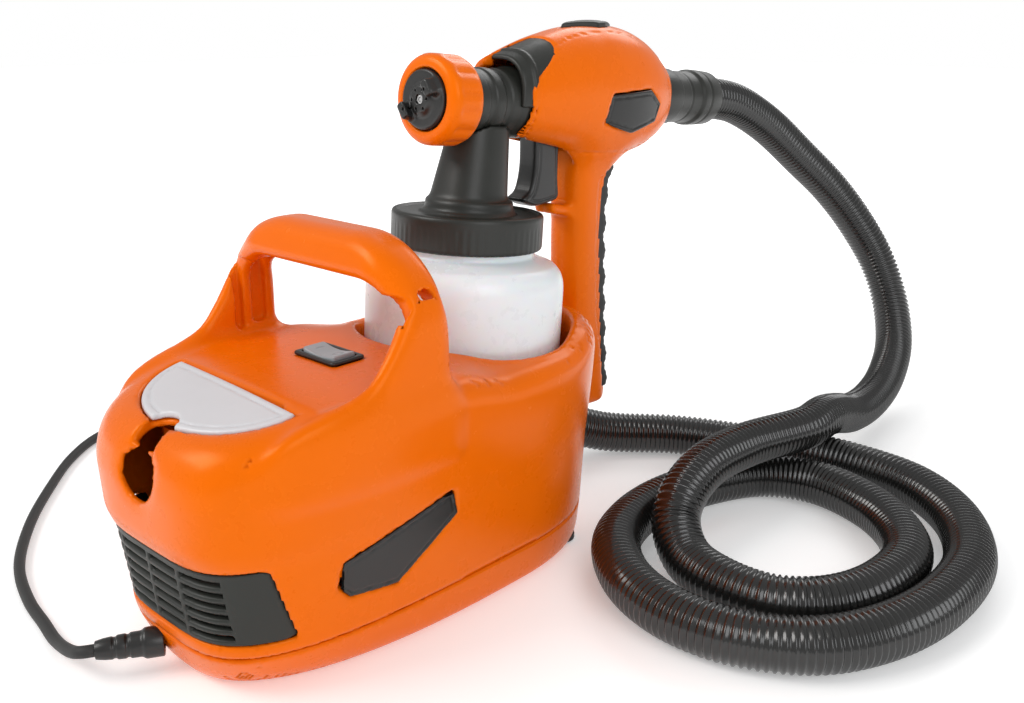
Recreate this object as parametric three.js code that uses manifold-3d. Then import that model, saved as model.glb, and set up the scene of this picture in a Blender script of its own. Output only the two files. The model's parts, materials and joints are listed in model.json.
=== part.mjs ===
// A turbine paint sprayer: a floor unit with its carrying handle and cup holder, the spray gun
// that stands in the holder on its paint cup, the corrugated air hose and the mains lead.
// Millimetres, +Z up. The front of the floor unit and the nozzle point along -Y.
import * as THREE from "three";
import { mergeVertices } from "three/addons/utils/BufferGeometryUtils.js";
import Module from "manifold-3d";

const wasm = await Module();
wasm.setup();

// ---------------------------------------------------------------- driving dimensions
const yOrigin = 19.8; // from the cup holder's axis to the middle of the whole product
const gap = 0.3; // clearance between pieces that touch
const wall = 3; // moulded wall of the floor unit

const unit = {
  middle: -15, // where the plan outline is widest
  floor: 1.2, // underside of the tray, on its feet
  trayFloor: 6, // inside of the tray's floor
  trayTop: 24, // joint between tray and housing
  deck: 135,
  slopeFrom: -140, // the deck slopes down ahead of here
  slope: 0.2,
};
// Plan of the floor unit at each height: half width, front and rear reach, bluntness of the nose.
const levels = [
  { z: 1.2, w: 63, front: -181, rear: 73, blunt: 2.5 },
  { z: 8, w: 65, front: -186, rear: 74, blunt: 2.9 },
  { z: 24, w: 67, front: -191, rear: 75, blunt: 3.8 },
  { z: 71, w: 70, front: -195, rear: 77, blunt: 4.2 },
  { z: 77, w: 71, front: -198, rear: 77.5, blunt: 4.2 },
  { z: 104, w: 73.8, front: -198.5, rear: 79.2, blunt: 4.2 },
  { z: 121, w: 75, front: -194, rear: 80, blunt: 4 },
  { z: 129, w: 73.5, front: -189.5, rear: 78.5, blunt: 3.7 },
  { z: 135, w: 69, front: -184, rear: 74, blunt: 3.3 },
];
const rearPower = 2.3; // roundness of the plan outline behind the widest place

const handle = { rear: -74, top: 203, under: 184, halfInside: 61, halfOutside: 76, shoulder: 11 };
const holder = { depth: 64.5, radius: 60, wall: 3, tilt: 4.5 };
const grille = { bottom: 32, top: 70, halfWidth: 57, rows: 6, columns: 5, thick: 3 };
const lid = { rear: -142, front: -182, halfRear: 48, thick: 3 };
const pocket = { rear: -143, front: -171, half: 40, bottom: 92 };
const hinge = { y: -144.5, z: 131.4, knuckle: 2.6, pin: 1.1, room: 2.2 };
const rocker = { y: -89, length: 26, width: 14 };
const eyelet = { half: 9, bottom: 102, barFrom: 114, barTo: 117.5, top: 124, barBack: -189, back: -180.5 };
const outlet = { x: -36, z: 32, radius: 18 };
const turbine = { y: -103, z: 57, radius: 40, motorRadius: 29 };
const feetAt = [[-38, -118], [38, -118], [-44, 40], [44, 40]];
const screwsAt = [[-50, -90], [50, -90], [-56, 8], [56, 8]];
const relief = { x: -8, y: -186, z: 15, turn: -31, length: 33 };
const cord = { diameter: 6.2, coilRadius: 36 };
const hose = { diameter: 28 };

// The gun in its own frame: origin at the middle of the cup's bottom, Z along the cup.
const gun = {
  bore: 190, // height of the nozzle's axis
  ringFront: -34,
  ringRear: -13,
  barrelRear: 42,
  pivot: [48, 212], // trigger pin, y and z
  sleeveEnd: 222,
  sleeveHeight: 197,
};
const cup = { radius: 55.5, height: 110, neck: 38, wall: 2, lidRadius: 42 };

// ---------------------------------------------------------------- solids
function solid(geometry) {
  const bare = geometry.clone();
  bare.deleteAttribute("normal");
  bare.deleteAttribute("uv");
  const merged = mergeVertices(bare, 1e-4);
  const count = merged.attributes.position.count;
  const index = merged.index ? merged.index.array : Array.from({ length: count }, (_, i) => i);
  const mesh = new wasm.Mesh({
    numProp: 3,
    vertProperties: new Float32Array(merged.attributes.position.array),
    triVerts: new Uint32Array(index),
  });
  const made = new wasm.Manifold(mesh);
  if (made.volume() <= 0) throw new Error("a solid faces inwards");
  return made;
}
const cut = (from, ...tools) => tools.reduce((left, tool) => left.subtract(tool), from);
const join = (first, ...rest) => rest.reduce((all, next) => all.add(next), first);
// The biggest of the bodies that a cut leaves.
const largest = (body) => body.decompose().sort((a, b) => b.volume() - a.volume())[0];

function geometryOf(body) {
  const mesh = body.getMesh();
  const geometry = new THREE.BufferGeometry();
  const points = new Float32Array(mesh.numVert * 3);
  for (let i = 0; i < mesh.numVert; i++)
    for (let k = 0; k < 3; k++) points[3 * i + k] = mesh.vertProperties[i * mesh.numProp + k];
  geometry.setAttribute("position", new THREE.BufferAttribute(points, 3));
  geometry.setIndex(new THREE.BufferAttribute(new Uint32Array(mesh.triVerts), 1));
  geometry.computeVertexNormals();
  return geometry;
}

// A box between two corners.
function block(low, high) {
  const size = high.map((value, i) => value - low[i]);
  const geometry = new THREE.BoxGeometry(...size);
  geometry.translate(...low.map((value, i) => value + size[i] / 2));
  return solid(geometry);
}

// A turned piece about Z: profile points are [radius, height], on the axis or closed.
function turnedGeometry(profile, segments = 32) {
  return new THREE.LatheGeometry(profile.map(([r, z]) => new THREE.Vector2(r, z)), segments)
    .rotateX(Math.PI / 2);
}
// The same about an axis along Y through (x, z); heights become distances along Y.
function turnedAlongY(profile, x, z, segments = 32) {
  const back = profile.map(([r, y]) => new THREE.Vector2(r, y));
  return solid(new THREE.LatheGeometry(back, segments).translate(x, 0, z));
}
const turned = (profile, segments) => solid(turnedGeometry(profile, segments));
const rod = (r, low, high) => [[0, low], [r, low], [r, high], [0, high]];
const tube = (inner, outer, low, high) => [
  [inner, low], [outer, low], [outer, high], [inner, high], [inner, low],
];

function shapeOf(points) {
  return new THREE.Shape(points.map(([a, b]) => new THREE.Vector2(a, b)));
}
// An outline in the YZ plane, run along X from low to high.
function alongX(outline, low, high) {
  const shape = outline instanceof THREE.Shape ? outline : shapeOf(outline);
  const settings = { depth: high - low, bevelEnabled: false, curveSegments: 8 };
  const geometry = new THREE.ExtrudeGeometry(shape, settings);
  geometry.applyMatrix4(new THREE.Matrix4().set(0, 0, 1, low, 1, 0, 0, 0, 0, 1, 0, 0, 0, 0, 0, 1));
  return solid(geometry);
}
// An outline in the XZ plane, run along Y from low to high.
function alongY(outline, low, high) {
  const shape = outline instanceof THREE.Shape ? outline : shapeOf(outline);
  const settings = { depth: high - low, bevelEnabled: false, curveSegments: 8 };
  const geometry = new THREE.ExtrudeGeometry(shape, settings);
  geometry.rotateX(Math.PI / 2).translate(0, high, 0);
  return solid(geometry);
}
// An outline in the XY plane, run up Z from low to high.
function upZ(outline, low, high) {
  const shape = outline instanceof THREE.Shape ? outline : shapeOf(outline);
  const settings = { depth: high - low, bevelEnabled: false, curveSegments: 8 };
  return solid(new THREE.ExtrudeGeometry(shape, settings).translate(0, 0, low));
}

// A closed skin over rings: place(angle, t) gives the rim at t from 0 to 1 along the piece.
function skin(segments, steps, place, centre) {
  const geometry = new THREE.CylinderGeometry(1, 1, 1, segments, steps).rotateX(Math.PI / 2);
  const spots = geometry.attributes.position;
  for (let i = 0; i < spots.count; i++) {
    const share = Math.min(1, Math.hypot(spots.getX(i), spots.getY(i)));
    const angle = Math.atan2(spots.getY(i), spots.getX(i));
    const t = spots.getZ(i) + 0.5;
    const rim = place(angle, t);
    const middle = centre(t);
    spots.setXYZ(i, ...rim.map((value, k) => middle[k] + share * (value - middle[k])));
  }
  return solid(geometry);
}

const signedPower = (value, power) => Math.sign(value) * Math.abs(value) ** power;
const mix = (a, b, t) => a + (b - a) * t;

function levelAt(z) {
  const above = levels.findIndex((level) => level.z >= z);
  if (above <= 0) return levels[above === 0 ? 0 : levels.length - 1];
  const [low, high] = [levels[above - 1], levels[above]];
  const t = (z - low.z) / (high.z - low.z);
  const between = (key) => mix(low[key], high[key], t);
  return { w: between("w"), front: between("front"), rear: between("rear"), blunt: between("blunt") };
}
function outlineAt(angle, level, offset) {
  const ahead = Math.sin(angle) < 0;
  const power = 2 / (ahead ? level.blunt : rearPower);
  const reach = ahead ? unit.middle - level.front : level.rear - unit.middle;
  return [
    (level.w + offset) * signedPower(Math.cos(angle), power),
    unit.middle + (reach + offset) * signedPower(Math.sin(angle), power),
  ];
}
// The floor unit's outer form, grown by offset, between two heights.
function unitForm(offset, bottom = unit.floor, top = unit.deck, segments = 48) {
  const inside = levels.map((level) => level.z).filter((z) => z > bottom && z < top);
  const heights = [bottom, ...inside, top];
  const place = (angle, t) => {
    const z = heights[Math.round(t * (heights.length - 1))];
    return [...outlineAt(angle, levelAt(z), offset), z];
  };
  const centre = (t) => [0, unit.middle, heights[Math.round(t * (heights.length - 1))]];
  return skin(segments, heights.length - 1, place, centre);
}

// ---------------------------------------------------------------- the object
const product = new THREE.Group();
product.name = "paint_sprayer";
product.position.y = -yOrigin;
const sprayGun = new THREE.Group();
sprayGun.position.z = holder.depth;
sprayGun.rotation.x = -THREE.MathUtils.degToRad(holder.tilt);
product.add(sprayGun);

const finish = {
  orange: { color: 0xe86c0a, roughness: 0.32, metalness: 0 },
  darkGrey: { color: 0x373834, roughness: 0.45, metalness: 0 },
  black: { color: 0x1b1b1b, roughness: 0.5, metalness: 0 },
  lightGrey: { color: 0xcdcbcd, roughness: 0.4, metalness: 0 },
  rockerGrey: { color: 0x969ba0, roughness: 0.4, metalness: 0 },
  cupWhite: { color: 0xe4e4e6, roughness: 0.35, metalness: 0 },
  rubber: { color: 0x202020, roughness: 0.8, metalness: 0 },
  foam: { color: 0x4a4a48, roughness: 0.95, metalness: 0 },
  steel: { color: 0xb4b6b8, roughness: 0.3, metalness: 1 },
  aluminium: { color: 0xa9abad, roughness: 0.4, metalness: 1 },
};
function add(name, body, look, group = product) {
  const geometry = body.isBufferGeometry ? body : geometryOf(body);
  const mesh = new THREE.Mesh(geometry, new THREE.MeshStandardMaterial(finish[look]));
  mesh.name = name;
  group.add(mesh);
  return mesh;
}

// The cup holder's bore leans back with the gun; grow widens it.
function holderBore(radius, low, high) {
  const geometry = turnedGeometry(rod(radius, low, high), 48);
  geometry.rotateX(-THREE.MathUtils.degToRad(holder.tilt)).translate(0, 0, holder.depth);
  return solid(geometry);
}
// What lies above the sloping front of the deck, sunk by drop, from y forwards.
function aboveSlope(drop, y = unit.slopeFrom) {
  const far = -240;
  const height = (at) => unit.deck - drop - (unit.slopeFrom - at) * unit.slope;
  return alongX([[y, height(y)], [far, height(far)], [far, 260], [y, 260]], -100, 100);
}
// The deck falls away beside and behind the cup.
function besideCup() {
  const { deck } = unit;
  return alongY([[-95, 112], [-76, 121], [-62, deck - 7], [-46, deck], [46, deck], [62, deck - 7], [76, 121],
    [95, 112], [95, 260], [-95, 260]], handle.rear, 120);
}
// The window in the nose that the grille fills, grown by extra.
function grilleWindow(extra) {
  const half = grille.halfWidth + extra;
  return block([-half, -230, grille.bottom - extra], [half, -110, grille.top + extra]);
}
// The blank badge's outline on the right-hand side.
function badgePrism(grow) {
  const middle = [-98, 52];
  const corners = [[-134, 45], [-131, 58], [-67, 74], [-63, 60], [-101, 35], [-128, 38]];
  const grown = corners.map(([y, z]) => {
    const length = Math.hypot(y - middle[0], z - middle[1]);
    const scale = (length + grow) / length;
    return [mix(middle[0], y, scale), mix(middle[1], z, scale)];
  });
  return alongX(grown, 40, 90);
}
// The lid's plan: straight behind, round in front, with a finger notch.
function lidPlan(grow) {
  const shape = new THREE.Shape();
  const half = lid.halfRear + grow;
  const rear = lid.rear + (grow > 0 ? hinge.room : 0);
  const front = lid.front - grow;
  shape.moveTo(half, rear);
  shape.lineTo(-half, rear);
  shape.lineTo(-half, lid.rear);
  shape.bezierCurveTo(-half - 2, -163, -30, front, 0, front);
  shape.bezierCurveTo(30, front, half + 2, -163, half, lid.rear);
  return shape;
}

// The arch and its shoulders: the cross outline, the side outline and the plan outline, together.
function carryingArch() {
  const { halfOutside: out, halfInside: half, top, under, rear } = handle;
  const outer = new THREE.Shape();
  outer.moveTo(-out, 112);
  outer.lineTo(out, 112);
  outer.lineTo(out, 156);
  outer.bezierCurveTo(out - 1, 182, out - 14, top - 1, out - 46, top);
  outer.lineTo(46 - out, top);
  outer.bezierCurveTo(14 - out, top - 1, 1 - out, 182, -out, 156);
  const side = new THREE.Shape();
  side.moveTo(-200, 110);
  side.quadraticCurveTo(-176, 130, -146, 134);
  side.bezierCurveTo(-122, 137, -110, 144, -105, 162);
  side.quadraticCurveTo(-102, 182, -95, top + 4);
  side.lineTo(rear, top + 4);
  side.lineTo(rear, 112);
  const inner = new THREE.Shape();
  inner.moveTo(-half - 8, 100);
  inner.lineTo(half + 8, 100);
  inner.lineTo(half - 1, under - 12);
  inner.quadraticCurveTo(half - 3, under, half - 14, under);
  inner.lineTo(14 - half, under);
  inner.quadraticCurveTo(3 - half, under, 1 - half, under - 12);
  const tall = (offset) => unitForm(offset, 100, 121).scale([1, 1, 8]).translate([0, 0, -700]);
  const band = alongY(outer, -210, -50).intersect(alongX(side, -90, 90)).intersect(tall(0.5));
  const between = tall(-handle.shoulder).intersect(block([-90, -230, 90], [90, -20, under - 14]));
  const ahead = tall(-handle.shoulder).intersect(block([-90, -230, 90], [90, -112, 220]));
  return cut(band, alongY(inner, -210, -40), between, ahead);
}

function housing() {
  const top = unit.trayTop + gap;
  const shell = unitForm(0, top, unit.deck).subtract(aboveSlope(0));
  const hollow = unitForm(-wall, top - 1, unit.deck - wall).subtract(aboveSlope(3 * wall, -134));
  const well = holderBore(holder.radius + holder.wall, -holder.wall, 80).intersect(unitForm(-1, 40, unit.deck));
  const bosses = screwsAt.map(screwBoss);
  let body = join(cut(shell, hollow), well, carryingArch(), ...bosses);
  const seat = upZ(lidPlan(gap), 90, 160).intersect(aboveSlope(lid.thick + gap, -120));
  const hole = upZ(pocketPlan(gap), 80, 160);
  const slot = (low, high) => block([-eyelet.half, -240, low], [eyelet.half, eyelet.back, high]);
  body = cut(
    body, holderBore(holder.radius, 0, 90), besideCup(), grilleWindow(gap), hole, seat,
    slot(eyelet.bottom, eyelet.barFrom), slot(eyelet.barTo, eyelet.top),
    block([-eyelet.half, eyelet.barBack, eyelet.bottom], [eyelet.half, eyelet.back, eyelet.top]),
    badgePrism(gap).subtract(unitForm(-1.5)),
    hingeRod(hinge.knuckle + 0.4, lid.halfRear + gap), hingeRod(hinge.pin + gap, 52.5),
    block([-lid.halfRear - gap, hinge.y - wall, hinge.z - wall], [lid.halfRear + gap, lid.rear + hinge.room, hinge.z + wall]),
    block([-rocker.length / 2 - 1.5 - gap, rocker.y - rocker.width / 2 - 1.5 - gap, 120],
      [rocker.length / 2 + 1.5 + gap, rocker.y + rocker.width / 2 + 1.5 + gap, 141]),
    turnedAlongY(rod(outlet.radius + 2 + gap, 40, 100), outlet.x, outlet.z),
    reliefPart(rod(6.8, -20, 30)),
  );
  return body;
}

// A post for a tray screw, tied to the wall by a rib.
function screwBoss([x, y]) {
  const post = turned(tube(1.8, 4.5, unit.trayFloor + gap, 60), 12).translate([x, y, 0]);
  const rib = x > 0 ? block([x + 3, y - 1.2, 26], [x + 20, y + 1.2, 56]) : block([x - 20, y - 1.2, 26], [x - 3, y + 1.2, 56]);
  return join(post, rib.intersect(unitForm(-1)));
}
// A round piece along the cord's exit: distances run inwards from the relief's root.
function reliefPart(profile) {
  const piece = turnedAlongY(profile, 0, 0, 20);
  return piece.rotate([0, 0, relief.turn]).translate([relief.x, relief.y, relief.z]);
}
function pocketPlan(grow) {
  const half = pocket.half + grow;
  return shapeOf([
    [half, pocket.rear + grow], [-half, pocket.rear + grow],
    [-half + 3, -163], [-20, pocket.front - grow], [20, pocket.front - grow], [half - 3, -163],
  ]);
}

add("main_housing", largest(housing()), "orange");

// ---- tray, feet and screws under the unit
function tray() {
  const hollow = unitForm(-wall, unit.trayFloor, 60);
  const hooks = feetAt.map(([x, y]) => turned(rod(9 + gap, 0, 4), 20).translate([x, y, 0]));
  const stepped = [[0, 0], [3.2, 0], [3.2, 3.7], [1.8, 3.7], [1.8, 6.1], [4.8, 6.1], [4.8, 30], [0, 30]];
  const holes = screwsAt.map(([x, y]) => turned(stepped, 12).translate([x, y, 0]));
  return cut(
    unitForm(0, unit.floor, unit.trayTop), hollow, ...hooks, ...holes,
    reliefPart(rod(6.8, -20, 30)),
    turnedAlongY(rod(outlet.radius + 2 + gap, 40, 100), outlet.x, outlet.z),
  );
}
add("base_tray", tray(), "orange");
["front_left", "front_right", "rear_left", "rear_right"].forEach((place, i) => {
  const foot = turned([[0, 0], [8, 0], [9, 0.8], [9, 4 - gap], [0, 4 - gap]], 20);
  add("foot_" + place, foot.translate([...feetAt[i], 0]), "rubber");
  const screw = turned([[0, 1.6], [2.6, 1.6], [2.9, 2.2], [2.9, 3.4], [1.5, 3.4], [1.5, 13], [0, 13]], 12);
  add("tray_screw_" + place, screw.translate([...screwsAt[i], 0]), "steel");
});

// ---- grille and filter
function noseWall(outer, inner, low, high) {
  return cut(unitForm(outer, low, high), unitForm(inner, low - 1, high + 1));
}
function grillePanel() {
  const panel = noseWall(-0.8, -0.8 - grille.thick, grille.bottom, grille.top)
    .intersect(grilleWindow(0)).intersect(block([-80, -230, 0], [80, -120, 100]));
  const pitch = (grille.top - grille.bottom - 8) / grille.rows;
  const slots = [];
  const xStep = (2 * grille.halfWidth - 14) / grille.columns;
  for (let row = 0; row < grille.rows; row++)
    for (let column = 0; column < grille.columns; column++) {
      const x = -grille.halfWidth + 7 + xStep * column;
      const z = grille.bottom + 5 + pitch * row;
      slots.push(block([x + 1.4, -230, z], [x + xStep - 1.4, -120, z + pitch - 2.4]));
    }
  return cut(panel, ...slots);
}
add("front_grille", grillePanel(), "darkGrey");
const filterBody = noseWall(-5.5, -13, grille.bottom + 2, grille.top - 2)
  .intersect(block([-42, -230, 20], [42, -120, 80]));
add("air_filter", filterBody, "foam");

// ---- accessory pocket, its lid and the hinge pin
// A rod along the lid's hinge, half long each way.
function hingeRod(radius, half) {
  const geometry = new THREE.CylinderGeometry(radius, radius, 2 * half, 14).rotateZ(Math.PI / 2);
  return solid(geometry.translate(0, hinge.y, hinge.z));
}
function lidBody() {
  const notch = turned(rod(9, 60, 200), 24).translate([0, lid.front - 1, 0]);
  const plate = cut(upZ(lidPlan(0), 80, 180).intersect(aboveSlope(lid.thick, -120)), aboveSlope(0, -120), notch);
  return cut(join(plate, hingeRod(hinge.knuckle, lid.halfRear - 0.2)), hingeRod(hinge.pin + 0.15, 60));
}
add("accessory_lid", lidBody(), "lightGrey");
add("lid_hinge_pin", hingeRod(hinge.pin, 52), "steel");
function accessoryTray() {
  const outer = upZ(pocketPlan(-gap), pocket.bottom, 128);
  const inner = upZ(pocketPlan(-gap - 2), pocket.bottom + 2, 140);
  return cut(outer, inner, aboveSlope(13, -120));
}
add("accessory_tray", accessoryTray(), "orange");

// ---- switch
function ringBlock(halfX, halfY, inX, inY, low, high) {
  return cut(block([-halfX, -halfY, low], [halfX, halfY, high]), block([-inX, -inY, low - 1], [inX, inY, high + 1]));
}
const rockerHalf = [rocker.length / 2, rocker.width / 2];
const frameBody = join(
  ringBlock(rockerHalf[0] + 1.5, rockerHalf[1] + 1.5, rockerHalf[0] + 0.4, rockerHalf[1] + 0.4, 118, 135.4),
  ringBlock(rockerHalf[0] + 3.4, rockerHalf[1] + 3.4, rockerHalf[0] + 0.4, rockerHalf[1] + 0.4, 135.3, 137.2),
).translate([0, rocker.y, 0]);
add("switch_frame", frameBody, "black");
const rockerSide = new THREE.Shape();
rockerSide.moveTo(-12.6, 131);
rockerSide.quadraticCurveTo(0, 125, 12.6, 131);
rockerSide.lineTo(12.6, 139.6);
rockerSide.quadraticCurveTo(0, 136.2, -12.6, 139.6);
add("switch_rocker", alongY(rockerSide, rocker.y - 6.8, rocker.y + 6.8), "rockerGrey");

// ---- turbine, motor and duct inside the unit
const motor = join(
  turnedAlongY(rod(turbine.motorRadius, -143, -115), 0, turbine.z),
  turnedAlongY(rod(12, -150, -143.1), 0, turbine.z),
);
add("motor", join(motor, turnedAlongY(rod(20, -144, -142), 0, turbine.z)), "steel");
const turbineCase = cut(
  turnedAlongY(rod(turbine.radius, -112, -76), 0, turbine.z),
  turnedAlongY(rod(turbine.radius - 2, -110, -78), 0, turbine.z),
  turnedAlongY(rod(14, -120, -108), 0, turbine.z),
  turnedAlongY(rod(13, -80, -70), outlet.x + 12, outlet.z + 6),
);
add("turbine_case", turbineCase, "aluminium");
const vanes = Array.from({ length: 8 }, (_, i) => {
  const vane = new THREE.BoxGeometry(20, 10, 1.6).translate(24, -93, 0);
  return solid(vane.rotateY((i * Math.PI) / 4).translate(0, 0, turbine.z));
});
const impeller = join(
  turnedAlongY(rod(36, -89, -86), 0, turbine.z), turnedAlongY(rod(15, -100, -85), 0, turbine.z, 16),
  turnedAlongY(rod(4, -114.5, -80), 0, turbine.z, 12), ...vanes,
);
add("impeller", impeller, "aluminium");
for (const [name, low, high] of [["motor_mount_front", -140, -133], ["motor_mount_rear", -126, -119]])
  add(name, turnedAlongY(tube(turbine.motorRadius + gap, turbine.motorRadius + 6, low, high), 0, turbine.z), "rubber");
const ductPath = new THREE.CatmullRomCurve3([
  [outlet.x + 12, -73.5, outlet.z + 6], [outlet.x + 10, -58, outlet.z + 4],
  [outlet.x + 2, -20, outlet.z], [outlet.x, 20, outlet.z], [outlet.x, 50, outlet.z],
].map((p) => new THREE.Vector3(...p)));
function ring(radius, sides) {
  return new THREE.Shape(Array.from({ length: sides }, (_, i) => {
    const angle = (2 * Math.PI * i) / sides;
    return new THREE.Vector2(radius * Math.cos(angle), radius * Math.sin(angle));
  }));
}
function tubeAlong(curve, radius, sides, steps) {
  return solid(new THREE.ExtrudeGeometry(ring(radius, sides), { steps, extrudePath: curve, bevelEnabled: false }));
}
add("air_duct", cut(tubeAlong(ductPath, 14, 12, 8), tubeAlong(stretched(ductPath), 11.6, 12, 9)), "black");
// The same line with a little more at both ends, so that a bore runs right through.
function stretched(curve) {
  const points = curve.points.map((p) => p.clone());
  const first = points[0].clone().sub(points[1]).setLength(4).add(points[0]);
  const last = points.at(-1).clone().sub(points.at(-2)).setLength(4).add(points.at(-1));
  return new THREE.CatmullRomCurve3([first, ...points, last]);
}
const socket = cut(
  join(turnedAlongY(rod(outlet.radius + 2, 52, 78), outlet.x, outlet.z),
    turnedAlongY(rod(outlet.radius + 5, 75, 82), outlet.x, outlet.z)),
  turnedAlongY(rod(outlet.radius - 1, 54, 90), outlet.x, outlet.z),
  turnedAlongY(rod(12, 40, 90), outlet.x, outlet.z),
);
add("outlet_socket", socket, "darkGrey");

// ---- blank badge
const badge = cut(unitForm(0.3, 20, 100), unitForm(-1.2, 19, 101)).intersect(badgePrism(0));
add("badge_plate", badge, "black");

// ---------------------------------------------------------------- the spray gun
const gunAdd = (name, body, look) => add(name, body, look, sprayGun);
const cupOuter = [
  [0, 0.6], [51, 0.6], [cup.radius, 5], [cup.radius, 95], [52, 103], [cup.neck, 107], [cup.neck, cup.height + 11],
];
const cupInner = cupOuter.slice(1).map(([r, z]) => [r - cup.wall, z === 0.6 ? 3 : z]).reverse();
gunAdd("paint_cup", turned([...cupOuter, ...cupInner, [0, 3]], 36), "cupWhite");
gunAdd("cup_gasket", turned(tube(cup.neck - 8, cup.neck, cup.height + 11.3, cup.height + 13), 32), "rubber");

function cupLid() {
  const skirt = turned([
    [0, 124.6], [cup.neck + 1, 124.6], [cup.neck + 1, 112], [cup.lidRadius - 1, 112], [cup.lidRadius, 113.5],
    [cup.lidRadius, 129], [cup.lidRadius - 2, 132], [26, 133.5], [25, 136], [0, 136],
  ], 36);
  const neckShape = (angle, t) => {
    const radius = mix(21, 15, t);
    return [radius * Math.cos(angle), mix(-1.5, 6, t) + radius * Math.sin(angle), mix(130, 176, t)];
  };
  const neck = skin(28, 2, neckShape, (t) => [0, mix(-1.5, 6, t), mix(130, 176, t)]);
  return cut(join(skirt, neck), turned(rod(6.4, 100, 200), 20), barrelBore(18.3), block([-30, -40, 178], [30, 60, 200]));
}
// A clear cylinder along the nozzle's axis.
function barrelBore(radius) {
  return turnedAlongY(rod(radius, -60, 80), 0, gun.bore, 32);
}
gunAdd("cup_lid", cupLid(), "darkGrey");
gunAdd("suction_tube", turned(tube(4, 6, 8, 170), 16), "cupWhite");

function barrel() {
  const outside = turnedAlongY([
    [0, -31], [12, -31], [12, -12.7], [16, -12.7], [18, -11], [18, 20], [19.5, 24], [19.5, gun.barrelRear], [0, gun.barrelRear],
  ], 0, gun.bore, 28);
  const bore = turnedAlongY(rod(4.5, -40, 60), 0, gun.bore, 16);
  const chamber = turnedAlongY(rod(9, 10, 60), 0, gun.bore, 20);
  return cut(outside, bore, chamber, turned(rod(6.3, 160, 190), 16));
}
gunAdd("barrel", barrel(), "darkGrey");
function nozzleRing() {
  const profile = [
    [12.6, gun.ringRear], [21, gun.ringRear], [22.4, gun.ringRear - 2], [22.4, -25], [19.5, -32], [17, gun.ringFront],
    [16, gun.ringFront], [16, -27], [12.6, -27], [12.6, gun.ringRear],
  ].reverse();
  let body = turnedAlongY(profile, 0, gun.bore, 36);
  const ribs = 18;
  for (let i = 0; i < ribs; i++) {
    const flute = new THREE.CylinderGeometry(1.2, 1.2, 12, 4).translate(23, gun.ringRear - 6, 0);
    body = body.subtract(solid(flute.rotateY((2 * Math.PI * i) / ribs).translate(0, 0, gun.bore)));
  }
  return body;
}
gunAdd("nozzle_ring", nozzleRing(), "orange");
function airCap() {
  const disc = turnedAlongY([[4.2, -31.3], [12, -31.3], [15.6, -31.3], [15.6, -34.5], [14, -36.5], [4.2, -36.5],
    [4.2, -31.3]].reverse(), 0, gun.bore, 32);
  const horns = [0, 1].map((i) => {
    const horn = new THREE.CylinderGeometry(3, 4, 7, 4).rotateY(Math.PI / 4).translate(12, -39.6, 0);
    return solid(horn.rotateY(-THREE.MathUtils.degToRad(35) + i * Math.PI).translate(0, 0, gun.bore));
  });
  return join(disc, ...horns);
}
gunAdd("air_cap", airCap(), "black");
const tip = turnedAlongY([[1.2, -38.2], [2.2, -38.2], [3.8, -33], [3.8, -20], [1.2, -20], [1.2, -38.2]],
  0, gun.bore, 20);
gunAdd("fluid_tip", tip, "steel");
gunAdd("nozzle_seal", turnedAlongY(tube(12.5, 15.4, -30.9, -28.5), 0, gun.bore, 24),
  "cupWhite");
const needle = join(
  turnedAlongY(rod(0.9, -38, -15), 0, gun.bore, 12), turnedAlongY(rod(1.6, -16, 96), 0, gun.bore, 12),
  turnedAlongY(rod(7, 66.6, 69.6), 0, gun.bore, 16),
);
gunAdd("needle", needle, "steel");
gunAdd("needle_spring", turnedAlongY(tube(3, 5, 70, 88), 0, gun.bore, 16), "steel");
gunAdd("spring_stop", cut(
  turnedAlongY(rod(8, 88.4, 92), 0, gun.bore, 20), turnedAlongY(rod(2, 80, 100), 0, gun.bore, 12)), "aluminium");

// The gun's two shells: a bulb along the bore, flowing into the handle.
const bulb = [ // y, half width, low z, high z
  [12, 19, 172, 211], [24, 22, 170, 218], [45, 25.5, 167, 226], [70, 28.5, 163, 233], [95, 29.5, 160, 237],
  [118, 29, 160, 236], [138, 26.5, 163, 230], [152, 22.5, 170, 221], [162, 18.5, 178, 216],
];
function bulbForm(offset) {
  const last = bulb.length - 1;
  const station = (t) => bulb[last - Math.round(t * last)];
  const place = (angle, t) => {
    const [y, half, low, high] = station(t);
    return [
      (half + offset) * signedPower(Math.cos(angle), 0.85), y - offset * (t - 0.5) * 2,
      (low + high) / 2 + ((high - low) / 2 + offset) * signedPower(Math.sin(angle), 0.9),
    ];
  };
  const centre = (t) => {
    const [y, , low, high] = station(t);
    return [0, y - offset * (t - 0.5) * 2, (low + high) / 2];
  };
  return skin(28, last, place, centre);
}
const grip = [ // z, front y, rear y, half width
  [2, 92, 124, 14], [8, 90, 126, 15], [60, 86, 118, 14], [110, 81, 112, 13.5], [140, 79, 111, 13.5],
  [165, 76, 118, 15], [185, 72, 124, 17],
];
function gripForm(offset) {
  const last = grip.length - 1;
  const station = (t) => grip[Math.round(t * last)];
  const place = (angle, t) => {
    const [z, front, rear, half] = station(t);
    return [
      (half + offset) * signedPower(Math.cos(angle), 0.62),
      (front + rear) / 2 + ((rear - front) / 2 + offset) * signedPower(Math.sin(angle), 0.62),
      z + offset * (t - 0.5) * 2,
    ];
  };
  const centre = (t) => {
    const [z, front, rear] = station(t);
    return [0, (front + rear) / 2, z + offset * (t - 0.5) * 2];
  };
  return skin(24, last, place, centre);
}
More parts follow.
